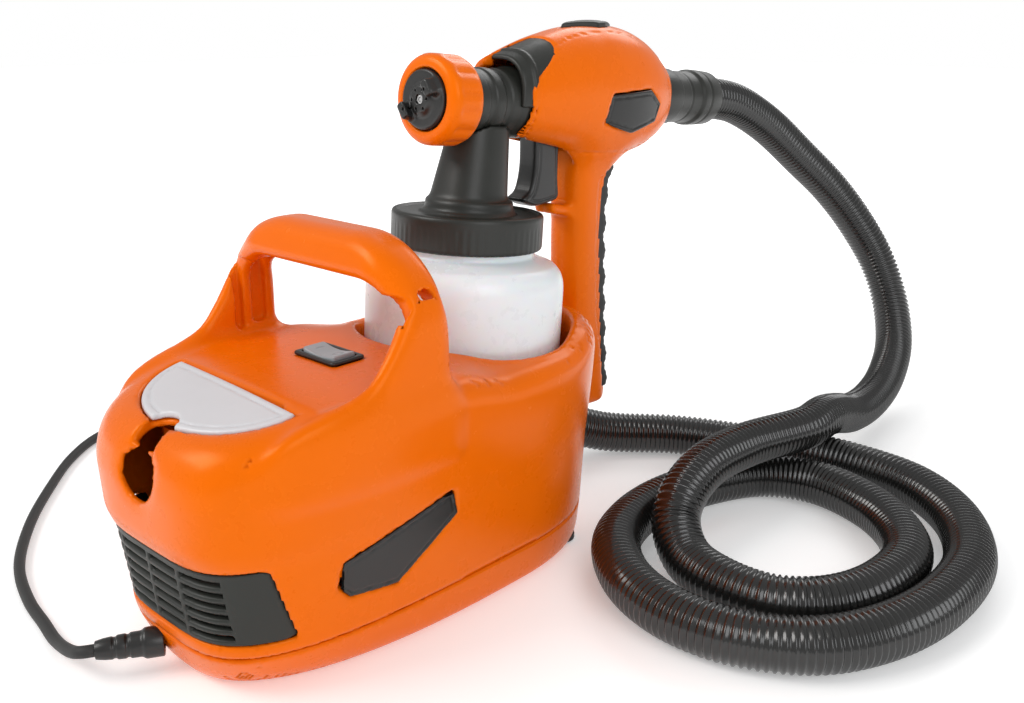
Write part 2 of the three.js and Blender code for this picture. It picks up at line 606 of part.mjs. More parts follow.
const gripPad = (extra) => {
  const shape = new THREE.Shape();
  shape.moveTo(105 - extra, 156 + extra);
  shape.lineTo(124 + extra, 154 + extra);
  for (let i = 0; i < 5; i++) {
    const z = 154 - 27 * i;
    shape.quadraticCurveTo(112.5 + 2.4 * i + extra, z - 13, 118.5 + 1.8 * i + extra, z - 27);
  }
  shape.lineTo(109 - extra, 19 - extra);
  return alongX(shape, -9.5 - extra, 9.5 + extra);
};
function gunShells() {
  const ledge = alongX([[64, 127], [84, 123], [84, 131], [70, 130.5], [64, 130.5]], -7, 7);
  const outside = join(bulbForm(0), gripForm(0), ledge);
  const inside = join(bulbForm(-2.6), gripForm(-2.6));
  const hollow = cut(outside, inside);
  const sleeveHole = turnedAlongY(rod(18.2, 140, 240), 0, gun.sleeveHeight, 32);
  const mouth = turnedAlongY(rod(19.8, 0, gun.barrelRear + gap), 0, gun.bore, 28);
  const triggerSlot = block([-8.6, 30, 140], [8.6, 77.5, 176]);
  const pinHole = solid(new THREE.CylinderGeometry(2.4, 2.4, 80, 12)
    .rotateZ(Math.PI / 2).translate(0, gun.pivot[0], gun.pivot[1]));
  const capSeat = capForm(gap, 8);
  return cut(hollow, sleeveHole, mouth, triggerSlot, pinHole, capSeat, gripPad(gap), gunPlate(gap),
    block([-20, -20, 100], [20, 13, 300]), ...shellScrews.map(screwHole));
}
// The rhombic cap on top of the gun.
function capForm(grow, deep) {
  const half = [24 + grow, 11.5 + grow];
  const rhomb = shapeOf([[0, 92 - half[0]], [half[1], 92 - 3], [half[1] - 2, 92 + 6], [0, 92 + half[0]],
    [2 - half[1], 92 + 6], [-half[1], 92 - 3]]);
  return upZ(rhomb, 238.5 - deep, 239.5 + grow * 20);
}
function gunPlate(grow) {
  const outline = [[89 - grow, 177 - grow], [93 - grow, 196 + grow], [124, 201 + grow], [138 + grow, 192],
    [131 + grow, 178], [110, 171 - grow]];
  return alongX(outline, 26.2 - grow, 30.4 + grow * 40);
}
const shellScrews = [[104, 30], [98, 100], [124, 176]];
const screwHole = ([y, z]) => solid(new THREE.CylinderGeometry(3, 3, 30, 12)
  .rotateZ(Math.PI / 2).translate(-25, y, z));
const shells = gunShells();
gunAdd("gun_shell_right", largest(shells.intersect(block([0.15, -50, -20], [60, 260, 300]))), "orange");
gunAdd("gun_shell_left", largest(shells.intersect(block([-60, -50, -20], [-0.15, 260, 300]))), "orange");
gunAdd("top_cap", capForm(0, 4).intersect(block([-20, 50, 230], [20, 130, 239.5])), "darkGrey");
gunAdd("gun_plate", gunPlate(0), "black");
gunAdd("grip_pad", cut(gripPad(0), gripForm(-2.6 + gap)), "rubber");
shellScrews.forEach(([y, z], i) => {
  const head = new THREE.CylinderGeometry(2.6, 2.6, 5, 12).rotateZ(Math.PI / 2);
  gunAdd("shell_screw_" + (i + 1), head.translate([-11.5, -11, -24.2][i], y, z), "steel");
});

function trigger() {
  const [py, pz] = gun.pivot;
  const shape = new THREE.Shape();
  shape.moveTo(py - 4.5, pz + 4);
  shape.lineTo(py + 4.5, pz + 4);
  shape.lineTo(68, 178);
  shape.quadraticCurveTo(66, 155, 69, 134.5);
  shape.lineTo(50, 131.8);
  shape.quadraticCurveTo(42, 132, 36, 136.5);
  shape.quadraticCurveTo(44, 140, 46, 150);
  shape.quadraticCurveTo(46, 168, 45, 176);
  const body = alongX(shape, -7.6, 7.6);
  const fork = block([-5.4, 30, 180], [5.4, 90, 230]);
  const pinHole = solid(new THREE.CylinderGeometry(2.2, 2.2, 40, 12).rotateZ(Math.PI / 2).translate(0, py, pz));
  return cut(body, fork, pinHole);
}
gunAdd("trigger", trigger(), "black");
const pivotPin = new THREE.CylinderGeometry(1.9, 1.9, 44, 12).rotateZ(Math.PI / 2);
gunAdd("trigger_pin", pivotPin.translate(0, ...gun.pivot), "steel");

const sleeve = turnedAlongY([
  [13, 150], [17.8, 150], [17.8, 176], [16.8, 178], [16.8, 200], [18, 203], [17.4, gun.sleeveEnd],
  [13, gun.sleeveEnd], [13, 150],
], 0, gun.sleeveHeight, 32);
gunAdd("hose_sleeve", sleeve, "darkGrey");

// ---------------------------------------------------------------- hose and lead
const vectors = (points) => points.map((p) => new THREE.Vector3(...p));
const line = (points) => new THREE.CatmullRomCurve3(vectors(points), false, "centripetal");

// The hose leaves the sleeve, arches over, makes two turns on the floor and goes in behind the unit.
const hoseEnd = 95;
const hoseRoute = [
  [0, 238.2, 243.2], [0.3, 256, 241.8], [1.5, 280, 237], [5, 322, 219], [14, 359, 193], [26, 390, 167], [40, 411, 139],
  [55, 426, 107], [70, 425, 76], [85, 406, 48], [97, 368, 31], [104, 326, 24.5], [108, 286, 27], [112, 252, 37],
  [116, 226, 43.4], [118, 199, 44], [104, 145, 44], [103, 101, 43], [107, 72, 34], [112, 61, 24], [128, 49, 14.4],
  [156, 38, 14.4], [182, 39, 14.4], [200, 50, 14.4], [212, 67, 14.4], [219, 92, 14.4], [218, 126, 14.4], [205, 151, 14.4],
  [176, 175, 14.4], [135, 186, 14.4], [103, 172, 14.4], [85, 141, 14.4], [76, 101, 14.4], [78, 67, 14.4], [90, 35, 14.4],
  [118, 8, 14.4], [150, -4, 14.4], [181, -3, 14.4], [208, 9, 14.4], [226, 26, 14.4], [242, 59, 14.4], [249, 101, 14.4],
  [244, 149, 14.4], [219, 195, 14.4], [183, 223, 14.4], [142, 230, 14.4], [102, 225, 14.4], [67, 211, 14.4], [22, 192, 14.4],
  [-14, 158, 17], [-32, 130, 27], [outlet.x, 108, outlet.z], [outlet.x, hoseEnd, outlet.z],
];
const hoseLine = line(hoseRoute);
// A stretch of a longer line, between two shares of its length.
class Stretch extends THREE.Curve {
  constructor(whole, from, to) {
    super();
    Object.assign(this, { whole, from, to });
  }
  getPoint(t) {
    return this.whole.getPointAt(mix(this.from, this.to, Math.min(1, Math.max(0, t))));
  }
}
const parting = 0.27; // share of the hose from the gun to where it first meets the floor
const slit = gap / hoseLine.getLength();
add("air_hose_riser", tubeAlong(new Stretch(hoseLine, 0, parting), hose.diameter / 2, 10, 13), "black");
add("air_hose_loops", tubeAlong(new Stretch(hoseLine, parting + slit, 1), hose.diameter / 2, 10, 42), "black");
add("hose_cuff", turnedAlongY([
  [11.5, 56], [16.6, 56], [16.6, 83], [18.6, 84], [18.6, 90], [17, hoseEnd - gap], [11.5, hoseEnd - gap], [11.5, 56],
], outlet.x, outlet.z, 28), "darkGrey");

// The lead leaves the tray low at the front, through a tapered relief.
const reliefProfile = [[0, -relief.length], [4.4, -relief.length], [6.2, -4], [6.2, 12], [0, 12]];
add("cord_relief", reliefPart(reliefProfile), "black");
const cordRadius = cord.diameter / 2;
const floorZ = cordRadius + 0.3; // height of the lead's middle where it lies
const reliefEnd = new THREE.Vector3(0, -relief.length - gap, 0)
  .applyAxisAngle(new THREE.Vector3(0, 0, 1), THREE.MathUtils.degToRad(relief.turn))
  .add(new THREE.Vector3(relief.x, relief.y, relief.z));
const coilAt = [-205, 30];
const leadRoute = [
  reliefEnd.toArray(), [reliefEnd.x - 2.6, reliefEnd.y - 4.3, 15], [-36, -220, 12], [-62, -217, 5], [-85, -213, floorZ],
  [-111, -209, floorZ], [-151, -197, floorZ], [-199, -170, floorZ], [-244, -136, floorZ], [-277, -107, floorZ],
  [-299, -79, floorZ], [-308, -53, floorZ], [-303, -18, floorZ], [-282, 10, floorZ], [-262, 27, floorZ],
  [coilAt[0] - 47, coilAt[1] + 14, floorZ],
];
add("power_cord", tubeAlong(line(leadRoute), cordRadius, 8, 30), "black");
const coilHalf = 6.9; // half the width of the coiled turns
const coil = turned(tube(cord.coilRadius - coilHalf, cord.coilRadius + coilHalf, 0, 21), 32);
add("cord_coil", coil.translate([...coilAt, 0]), "black");
const tailRoute = [
  [coilAt[0] + 12, coilAt[1] + 46.6, 4], [coilAt[0] + 30, coilAt[1] + 47, 6], [coilAt[0] + 46, coilAt[1] + 40, 8.4],
  [coilAt[0] + 57, coilAt[1] + 32.3, 8.4],
];
add("cord_tail", tubeAlong(line(tailRoute), cordRadius, 8, 5), "black");
const plugFrame = new THREE.Group();
plugFrame.position.set(tailRoute[3][0], tailRoute[3][1], 8.4);
plugFrame.rotation.z = THREE.MathUtils.degToRad(-35 - 90);
product.add(plugFrame);
const plugSide = new THREE.Shape();
plugSide.moveTo(-5, 0);
plugSide.lineTo(-10, 14);
plugSide.lineTo(-12, 34);
plugSide.lineTo(12, 34);
plugSide.lineTo(10, 14);
plugSide.lineTo(5, 0);
const plugBody = upZ(plugSide, -8.4, 8).translate([0, gap, 0]);
add("mains_plug", plugBody, "black", plugFrame);
for (const side of [-1, 1])
  add(side < 0 ? "plug_blade_left" : "plug_blade_right",
    block([side * 6.3 - 0.8, 34 + 2 * gap, -3.2], [side * 6.3 + 0.8, 51, 3.2]), "steel", plugFrame);

export default product;
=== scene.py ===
# %% [markdown]
# # A turbine paint sprayer, from solid model to studio picture
#
# The solid model gives every part its place, its size and its joints. This notebook makes the
# surfaces that are seen: the moulded housing with its carrying arch, the grille, the spray gun on
# its cup, the ribbed air hose and the mains lead.
#
# Each chapter builds one group of parts and prints what it made. All lengths in the drawings are
# millimetres, measured from the middle of the cup holder; `placed` turns them into metres in the
# shared frame.

import json
import math

import bmesh
import bpy
import numpy as np
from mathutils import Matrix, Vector


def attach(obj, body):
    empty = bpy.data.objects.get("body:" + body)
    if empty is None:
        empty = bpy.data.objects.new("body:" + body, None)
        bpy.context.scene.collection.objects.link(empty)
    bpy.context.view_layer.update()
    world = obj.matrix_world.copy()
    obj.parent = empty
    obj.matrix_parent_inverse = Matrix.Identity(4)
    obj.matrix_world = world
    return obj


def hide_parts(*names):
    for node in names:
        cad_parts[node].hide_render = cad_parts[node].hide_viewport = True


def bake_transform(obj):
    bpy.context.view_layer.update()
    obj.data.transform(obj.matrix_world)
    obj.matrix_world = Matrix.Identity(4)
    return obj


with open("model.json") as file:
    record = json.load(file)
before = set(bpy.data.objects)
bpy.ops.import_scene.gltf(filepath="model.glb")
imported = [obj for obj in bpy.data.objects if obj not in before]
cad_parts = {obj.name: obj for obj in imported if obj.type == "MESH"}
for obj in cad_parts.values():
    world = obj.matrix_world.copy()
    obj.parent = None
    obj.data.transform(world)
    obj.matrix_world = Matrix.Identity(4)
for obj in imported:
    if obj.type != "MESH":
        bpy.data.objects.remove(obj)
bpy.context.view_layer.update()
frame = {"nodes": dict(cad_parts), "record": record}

# %% Dimensions shared by several chapters
HOLDER_Y = 19.8  # the cup holder's axis lies this far in front of the frame's origin
HOLDER_DEPTH = 64.5  # height of the holder's floor
TILT = math.radians(4.5)  # the gun leans back in its holder
BORE = 190.0  # height of the nozzle's axis above the cup's bottom
DECK = 135.0
SLOPE_FROM, SLOPE = -140.0, 0.2  # the deck slopes down ahead of here
LEAD_DIAMETER = 6.2
ROCKER_Y = -89.0  # the middle of the power switch
SLEEVE_HEIGHT = 197.0  # the hose sleeve's axis on the gun


def placed(points):
    """Drawing millimetres to metres in the shared frame."""
    return (np.asarray(points, float) - [0, HOLDER_Y, 0]) / 1000


def on_gun(points):
    """Millimetres in the gun's own drawing, whose Z runs along the cup, to the unit's drawing."""
    x, y, z = np.asarray(points, float).T
    c, s = math.cos(TILT), math.sin(TILT)
    return np.stack([x, y * c + z * s, -y * s + z * c + HOLDER_DEPTH], 1)


def gun_coordinates(x, y, z):
    """The other way: the unit's drawing to the gun's own."""
    c, s = math.cos(TILT), math.sin(TILT)
    return x, y * c - (z - HOLDER_DEPTH) * s, y * s + (z - HOLDER_DEPTH) * c


# %% [markdown]
# ## The camera and the light
#
# The picture is taken from the front right, a little above the handle. The light is a pale room
# with two large soft lamps, so that the glossy orange shell shows long gentle highlights.

# %% Camera, floor and lamps
scene = bpy.context.scene
camera_data = bpy.data.cameras.new("camera")
camera_data.lens = 36.9
camera_data.sensor_width = 36.0
camera_data.clip_end = 30
camera = bpy.data.objects.new("camera", camera_data)
scene.collection.objects.link(camera)
camera.location = (0.406, -0.394 - HOLDER_Y / 1000, 0.298)
heading, pitch = math.radians(47.3), math.radians(17.8)
look = Vector((-math.cos(heading) * math.cos(pitch), math.sin(heading) * math.cos(pitch), -math.sin(pitch)))
camera.rotation_euler = look.to_track_quat("-Z", "Y").to_euler()
scene.camera = camera

floor_mesh = bpy.data.meshes.new("floor")
floor_mesh.from_pydata([(-6, -6, 0), (6, -6, 0), (6, 6, 0), (-6, 6, 0)], [], [(0, 1, 2, 3)])
floor = bpy.data.objects.new("floor", floor_mesh)
scene.collection.objects.link(floor)


def lamp(name, place, aim, size, power, colour=(1, 1, 1)):
    data = bpy.data.lights.new(name, "AREA")
    data.shape = "RECTANGLE"
    data.size, data.size_y = size
    data.energy = power
    data.color = colour
    item = bpy.data.objects.new(name, data)
    item.location = place
    item.rotation_euler = (Vector(aim) - Vector(place)).to_track_quat("-Z", "Y").to_euler()
    scene.collection.objects.link(item)


lamp("key", (-0.9, -1.5, 1.7), (0, 0, 0.1), (1.3, 0.9), 26, (1.0, 0.985, 0.96))
lamp("side", (1.7, -0.5, 1.1), (0, 0.05, 0.1), (1.1, 1.1), 12, (0.97, 0.985, 1.0))
lamp("rim", (-0.5, 1.6, 1.4), (0, 0.1, 0.15), (1.4, 0.8), 10)

world = bpy.data.worlds.new("studio")
world.use_nodes = True
sky = world.node_tree.nodes["Background"]
sky.inputs["Color"].default_value = (1, 1, 1, 1)
seen = world.node_tree.nodes.new("ShaderNodeLightPath")
strength = world.node_tree.nodes.new("ShaderNodeMapRange")
strength.inputs["To Min"].default_value = 0.56
strength.inputs["To Max"].default_value = 1.0
world.node_tree.links.new(seen.outputs["Is Camera Ray"], strength.inputs["Value"])
world.node_tree.links.new(strength.outputs["Result"], sky.inputs["Strength"])
scene.world = world
scene.view_settings.view_transform = "Standard"
print("camera at", tuple(round(v, 3) for v in camera.location), "lens", camera_data.lens)

# %% [markdown]
# ## Surfaces
#
# Every finish starts from two shared node groups. One gives the fine grain of a moulding tool and
# its faint unevenness of colour; the other gives dust and handling marks. Only the numbers differ
# between a glossy shell, a satin fitting and a rubber pad.


# %% Shared surface effects
def new_group(name, inputs, outputs):
    group = bpy.data.node_groups.new(name, "ShaderNodeTree")
    for label, kind, value in inputs:
        item = group.interface.new_socket(label, in_out="INPUT", socket_type=kind)
        if value is not None:
            item.default_value = value
    for label, kind in outputs:
        group.interface.new_socket(label, in_out="OUTPUT", socket_type=kind)
    return group, group.nodes.new("NodeGroupInput"), group.nodes.new("NodeGroupOutput")


def noise(tree, scale, detail=3.0, rough=0.55):
    node = tree.nodes.new("ShaderNodeTexNoise")
    node.inputs["Scale"].default_value = scale
    node.inputs["Detail"].default_value = detail
    node.inputs["Roughness"].default_value = rough
    return node


def maths(tree, operation, first, second, clamp=False):
    node = tree.nodes.new("ShaderNodeMath")
    node.operation = operation
    node.use_clamp = clamp
    for socket, value in zip(node.inputs, (first, second)):
        if hasattr(value, "links") or isinstance(value, bpy.types.NodeSocket):
            tree.links.new(value, socket)
        else:
            socket.default_value = value
    return node.outputs[0]


def mixed_colour(tree, share, first, second, how="MIX"):
    node = tree.nodes.new("ShaderNodeMix")
    node.data_type = "RGBA"
    node.blend_type = how
    for index, value in ((0, share), (6, first), (7, second)):
        if isinstance(value, bpy.types.NodeSocket):
            tree.links.new(value, node.inputs[index])
        else:
            node.inputs[index].default_value = value
    return node.outputs[2]


def moulded_group():
    """Tool grain, flow marks and a slightly uneven tone, for moulded plastic and rubber."""
    group, given, result = new_group(
        "moulded surface",
        [("Tone", "NodeSocketColor", (0.8, 0.8, 0.8, 1)),
         ("Worn tone", "NodeSocketColor", (0.9, 0.9, 0.9, 1)),
         ("Roughness", "NodeSocketFloat", 0.4), ("Grain size", "NodeSocketFloat", 2500.0),
         ("Grain", "NodeSocketFloat", 0.5)],
        [("Colour", "NodeSocketColor"), ("Roughness", "NodeSocketFloat"), ("Height", "NodeSocketFloat")])
    where = group.nodes.new("ShaderNodeTexCoord").outputs["Object"]
    flow = noise(group, 14, 2)
    cloud = noise(group, 95, 5, 0.6)
    grain = noise(group, 2500, 2, 0.5)
    speck = group.nodes.new("ShaderNodeTexVoronoi")
    speck.inputs["Scale"].default_value = 420
    for node in (flow, cloud, grain, speck):
        group.links.new(where, node.inputs["Vector"])
    group.links.new(given.outputs["Grain size"], grain.inputs["Scale"])
    uneven = maths(group, "MULTIPLY", flow.outputs["Factor" if "Factor" in flow.outputs else "Fac"], 0.55)
    fine = maths(group, "MULTIPLY", cloud.outputs["Factor" if "Factor" in cloud.outputs else "Fac"], 0.45)
    tone_share = maths(group, "ADD", uneven, fine)
    colour = mixed_colour(group, tone_share, given.outputs["Tone"], given.outputs["Worn tone"])
    dust = maths(group, "LESS_THAN", speck.outputs["Distance"], 0.045)
    dust = maths(group, "MULTIPLY", dust, maths(group, "GREATER_THAN", cloud.outputs[0], 0.57))
    colour = mixed_colour(group, maths(group, "MULTIPLY", dust, 0.12), colour, (0.75, 0.72, 0.68, 1))
    group.links.new(colour, result.inputs["Colour"])
    wander = maths(group, "MULTIPLY", maths(group, "SUBTRACT", tone_share, 0.5), 0.28)
    group.links.new(maths(group, "ADD", given.outputs["Roughness"], wander, True), result.inputs["Roughness"])
    height = maths(group, "MULTIPLY", grain.outputs[0], given.outputs["Grain"])
    height = maths(group, "ADD", height, maths(group, "MULTIPLY", cloud.outputs[0], 0.25))
    group.links.new(height, result.inputs["Height"])
    return group


def metal_group():
    """Turning marks and handling smears for machined metal."""
    group, given, result = new_group(
        "turned metal",
        [("Tone", "NodeSocketColor", (0.5, 0.5, 0.5, 1)), ("Roughness", "NodeSocketFloat", 0.3)],
        [("Colour", "NodeSocketColor"), ("Roughness", "NodeSocketFloat"), ("Height", "NodeSocketFloat")])
    where = group.nodes.new("ShaderNodeTexCoord").outputs["Object"]
    rings = group.nodes.new("ShaderNodeTexWave")
    rings.wave_type = "RINGS"
    rings.rings_direction = "Y"
    rings.inputs["Scale"].default_value = 900
    rings.inputs["Distortion"].default_value = 2.0
    smear = noise(group, 160, 4)
    for node in (rings, smear):
        group.links.new(where, node.inputs["Vector"])
    colour = mixed_colour(group, smear.outputs[0], given.outputs["Tone"], (0.72, 0.71, 0.69, 1))
    group.links.new(colour, result.inputs["Colour"])
    wander = maths(group, "MULTIPLY", smear.outputs[0], 0.22)
    group.links.new(maths(group, "ADD", given.outputs["Roughness"], wander, True), result.inputs["Roughness"])
    group.links.new(rings.outputs["Color"], result.inputs["Height"])
    return group


MOULDED = moulded_group()
METAL = metal_group()


def new_material(name, group, settings, bump=0.1, depth=0.0002, **shader):
    """A material whose colour, roughness and relief come from a shared group."""
    material = bpy.data.materials.new(name)
    material.use_nodes = True
    tree = material.node_tree
    surface = tree.nodes["Principled BSDF"]
    effect = tree.nodes.new("ShaderNodeGroup")
    effect.node_tree = group
    for label, value in settings.items():
        effect.inputs[label].default_value = value
    relief = tree.nodes.new("ShaderNodeBump")
    relief.inputs["Strength"].default_value = bump
    relief.inputs["Distance"].default_value = depth
    tree.links.new(effect.outputs["Colour"], surface.inputs["Base Color"])
    tree.links.new(effect.outputs["Roughness"], surface.inputs["Roughness"])
    tree.links.new(effect.outputs["Height"], relief.inputs["Height"])
    tree.links.new(relief.outputs["Normal"], surface.inputs["Normal"])
    for label, value in shader.items():
        surface.inputs[label.replace("_", " ")].default_value = value
    return material


def plastic(name, tone, worn, rough, grain=0.5, size=2500.0, bump=0.12, **shader):
    return new_material(
        name, MOULDED,
        {"Tone": (*tone, 1), "Worn tone": (*worn, 1), "Roughness": rough, "Grain size": size, "Grain": grain},
        bump, **shader)


def metal(name, tone, rough):
    return new_material(name, METAL, {"Tone": (*tone, 1), "Roughness": rough}, 0.08, 0.0001, Metallic=1.0)


# %% The finishes
orange = plastic("orange shell", (0.75, 0.122, 0.0002), (0.81, 0.142, 0.0004), 0.27, 0.25, 1400, 0.07,
                 Specular_IOR_Level=0.34, Specular_Tint=(1.0, 0.56, 0.2, 1.0))
dark_grey = plastic("dark grey fitting", (0.011, 0.0118, 0.0095), (0.019, 0.02, 0.0165), 0.4, 0.8, 3000, 0.22,
                    Specular_IOR_Level=0.42)
grille_grey = plastic("grille grey", (0.012, 0.0135, 0.011), (0.021, 0.023, 0.019), 0.4, 0.8, 2600, 0.2,
                      Specular_IOR_Level=0.36)
black = plastic("black fitting", (0.008, 0.008, 0.008), (0.016, 0.016, 0.015), 0.34, 0.6, 3000, 0.15)
hose_black = plastic("hose black", (0.006, 0.006, 0.006), (0.015, 0.015, 0.014), 0.2, 0.3, 1500, 0.1,
                     Coat_Weight=0.3, Coat_Roughness=0.12)
rubber = plastic("soft rubber", (0.012, 0.012, 0.012), (0.026, 0.026, 0.025), 0.62, 1.0, 2200, 0.3)
light_grey = plastic("light grey lid", (0.56, 0.55, 0.57), (0.64, 0.63, 0.65), 0.36, 0.5, 2600, 0.12)
rocker_grey = plastic("rocker grey", (0.27, 0.30, 0.32), (0.33, 0.36, 0.38), 0.3, 0.4, 3000, 0.1)
cup_white = plastic("cup white", (0.74, 0.745, 0.77), (0.8, 0.8, 0.82), 0.28, 0.3, 1200, 0.08,
                    Subsurface_Weight=0.35, Subsurface_Scale=0.006)
foam = plastic("filter foam", (0.05, 0.05, 0.048), (0.11, 0.11, 0.1), 0.9, 1.0, 900, 1.0)
steel = metal("turned steel", (0.5, 0.5, 0.51), 0.22)
aluminium = metal("cast aluminium", (0.42, 0.43, 0.44), 0.36)
floor_tone = plastic("studio floor", (0.86, 0.86, 0.86), (0.88, 0.88, 0.88), 0.6, 0.2, 300, 0.02)
floor_surface = floor_tone.node_tree.nodes["Principled BSDF"]
floor_surface.inputs["Emission Color"].default_value = (1, 1, 1, 1)
glow = floor_tone.node_tree
reach = glow.nodes.new("ShaderNodeVectorMath")
reach.operation = "LENGTH"
glow.links.new(glow.nodes.new("ShaderNodeTexCoord").outputs["Object"], reach.inputs[0])
fade = glow.nodes.new("ShaderNodeMapRange")
for label, value in (("From Min", 0.45), ("From Max", 2.2), ("To Min", 0.3), ("To Max", 1.1)):
    fade.inputs[label].default_value = value
glow.links.new(reach.outputs["Value"], fade.inputs["Value"])
glow.links.new(fade.outputs["Result"], floor_surface.inputs["Emission Strength"])
floor_mesh.materials.append(floor_tone)

finish_of_slot = {
    "orange_plastic": orange, "dark_grey_plastic": dark_grey, "black_plastic": black,
    "light_grey_plastic": light_grey, "rocker_plastic": rocker_grey, "cup_plastic": cup_white,
    "hose_plastic": hose_black, "rubber": rubber, "filter_foam": foam, "steel": steel, "aluminium": aluminium,
}
slot_of_node = {item["node"]: item["material_slot"] for item in frame["record"]["subparts"]}
for node, item in frame["nodes"].items():
    item.data.materials.clear()
    item.data.materials.append(finish_of_slot[slot_of_node[node]])
print("finishes:", len(bpy.data.materials), "| parts dressed:", len(slot_of_node))

# %% [markdown]
# ## Tools for making the surfaces
#
# Moulded shells are drawn as *distance fields*: a formula that is negative inside the plastic and
# positive outside. Two fields join with a smooth minimum, which leaves a fillet, and one is cut
# from the other with a smooth maximum, which leaves a rounded edge. `carve` then wraps a mesh
# round the zero level, and slides each point exactly onto it.


# %% Distance fields
def smooth_max(a, b, radius):
    overlap = np.maximum(radius - np.abs(a - b), 0) / radius
    return np.maximum(a, b) + overlap * overlap * radius * 0.25


def smooth_min(a, b, radius):
    return -smooth_max(-a, -b, radius)


def cut_away(solid, tool, radius=1.5):
    return smooth_max(solid, -tool, radius)


def smooth_step(value, low, high):
    t = np.clip((value - low) / (high - low), 0, 1)
    return t * t * (3 - 2 * t)


def box_field(a, b, half_a, half_b, corner):
    """Distance to a rectangle with rounded corners, in two coordinates."""
    qa, qb = np.abs(a) - half_a + corner, np.abs(b) - half_b + corner
    outside = np.sqrt(np.maximum(qa, 0) ** 2 + np.maximum(qb, 0) ** 2)
    return outside + np.minimum(np.maximum(qa, qb), 0) - corner


def outline_field(points, a, b):
    """Distance to a closed outline, in two coordinates."""
    points = np.asarray(points, float)
    a, b = np.broadcast_arrays(a, b)
    nearest = np.full(a.shape, 1e18)
    inside = np.zeros(a.shape, bool)
    for (a0, b0), (a1, b1) in zip(points, np.roll(points, -1, 0)):
        ea, eb = a1 - a0, b1 - b0
        t = np.clip(((a - a0) * ea + (b - b0) * eb) / (ea * ea + eb * eb), 0, 1)
        nearest = np.minimum(nearest, (a - a0 - t * ea) ** 2 + (b - b0 - t * eb) ** 2)
        if eb != 0:
            crosses = ((b0 > b) != (b1 > b)) & (a < (b - b0) * ea / eb + a0)
            inside ^= crosses
    return np.where(inside, -1, 1) * np.sqrt(nearest)


def rounded(points, steps=6, closed=True):
    """A smooth line through the points."""
    points = np.asarray(points, float)
    count = len(points)
    line = []
    for i in range(count if closed else count - 1):
        if closed:
            p = [points[(i + k) % count] for k in (-1, 0, 1, 2)]
        else:
            p = [points[min(max(i + k, 0), count - 1)] for k in (-1, 0, 1, 2)]
        for t in np.arange(steps) / steps:
            line.append(0.5 * (2 * p[1] + (p[2] - p[0]) * t + (2 * p[0] - 5 * p[1] + 4 * p[2] - p[3]) * t * t
                               + (3 * p[1] - p[0] - 3 * p[2] + p[3]) * t ** 3))
    if not closed:
        line.append(points[-1])
    return np.array(line)


# %% From a field to a mesh
def carve(field, low, high, step, passes=3):
    """Points and quads on the field's zero level."""
    axes = [np.arange(a, b + step, step) for a, b in zip(low, high)]
    grids = [axes[0][:, None, None], axes[1][None, :, None], axes[2][None, None, :]]
    shape = tuple(len(a) for a in axes)
    value = np.broadcast_to(field(*grids), shape)
    inside = value < 0
    total = np.zeros(tuple(n - 1 for n in shape), int)
    for i in (0, 1):
        for j in (0, 1):
            for k in (0, 1):
                total += inside[i:shape[0] - 1 + i, j:shape[1] - 1 + j, k:shape[2] - 1 + k]
    active = (total > 0) & (total < 8)
    cells = np.argwhere(active)
    number = np.full(total.shape, -1)
    number[active] = np.arange(len(cells))
    sums = np.zeros((len(cells), 3))
    hits = np.zeros(len(cells))
    corners = [(i, j, k) for i in (0, 1) for j in (0, 1) for k in (0, 1)]
    for one in corners:
        for two in corners:
            if sum(two) != sum(one) + 1 or any(b < a for a, b in zip(one, two)):
                continue
            va = value[tuple((cells + one).T)]
            vb = value[tuple((cells + two).T)]
            crossed = (va < 0) != (vb < 0)
            share = np.where(crossed, va / np.where(crossed, va - vb, 1), 0)
            spot = cells + np.array(one) + share[:, None] * (np.array(two) - np.array(one))
            sums[crossed] += spot[crossed]
            hits += crossed
    points = np.array(low) + sums / hits[:, None] * step
    faces = []
    for axis in range(3):
        head = [slice(None)] * 3
        tail = [slice(None)] * 3
        head[axis], tail[axis] = slice(0, -1), slice(1, None)
        change = inside[tuple(head)] != inside[tuple(tail)]
        edges = np.argwhere(change)
        b, c = [k for k in range(3) if k != axis]
        within = (edges[:, b] > 0) & (edges[:, b] < shape[b] - 1)
        within &= (edges[:, c] > 0) & (edges[:, c] < shape[c] - 1)
        edges = edges[within]
        quad = []
        for db, dc in ((-1, -1), (0, -1), (0, 0), (-1, 0)):
            cell = edges.copy()
            cell[:, b] += db
            cell[:, c] += dc
            quad.append(number[tuple(cell.T)])
        quad = np.stack(quad, 1)
        flip = inside[tuple(edges.T)] == (axis == 1)
        quad[flip] = quad[flip][:, ::-1]
        faces.append(quad)
    faces = np.concatenate(faces)
    for _ in range(passes):
        here = field(*points.T)
        tiny = 0.05
        slope = np.stack([(field(*(points + shift).T) - here) / tiny for shift in np.eye(3) * tiny], 1)
        size = np.maximum((slope ** 2).sum(1), 0.05)
        points -= np.clip(here / size, -0.5 * step, 0.5 * step)[:, None] * slope
    return points, faces


def new_object(name, points, faces, body, slot, nodes=(), look=None, smooth=True, angle=None):
    """A finished piece: its mesh in the shared frame, its finish, its body and what it replaces."""
    mesh = bpy.data.meshes.new(name)
    mesh.from_pydata([tuple(p) for p in points], [], [tuple(int(i) for i in f) for f in faces])
    return finished(name, mesh, body, slot, nodes, look, smooth, angle)


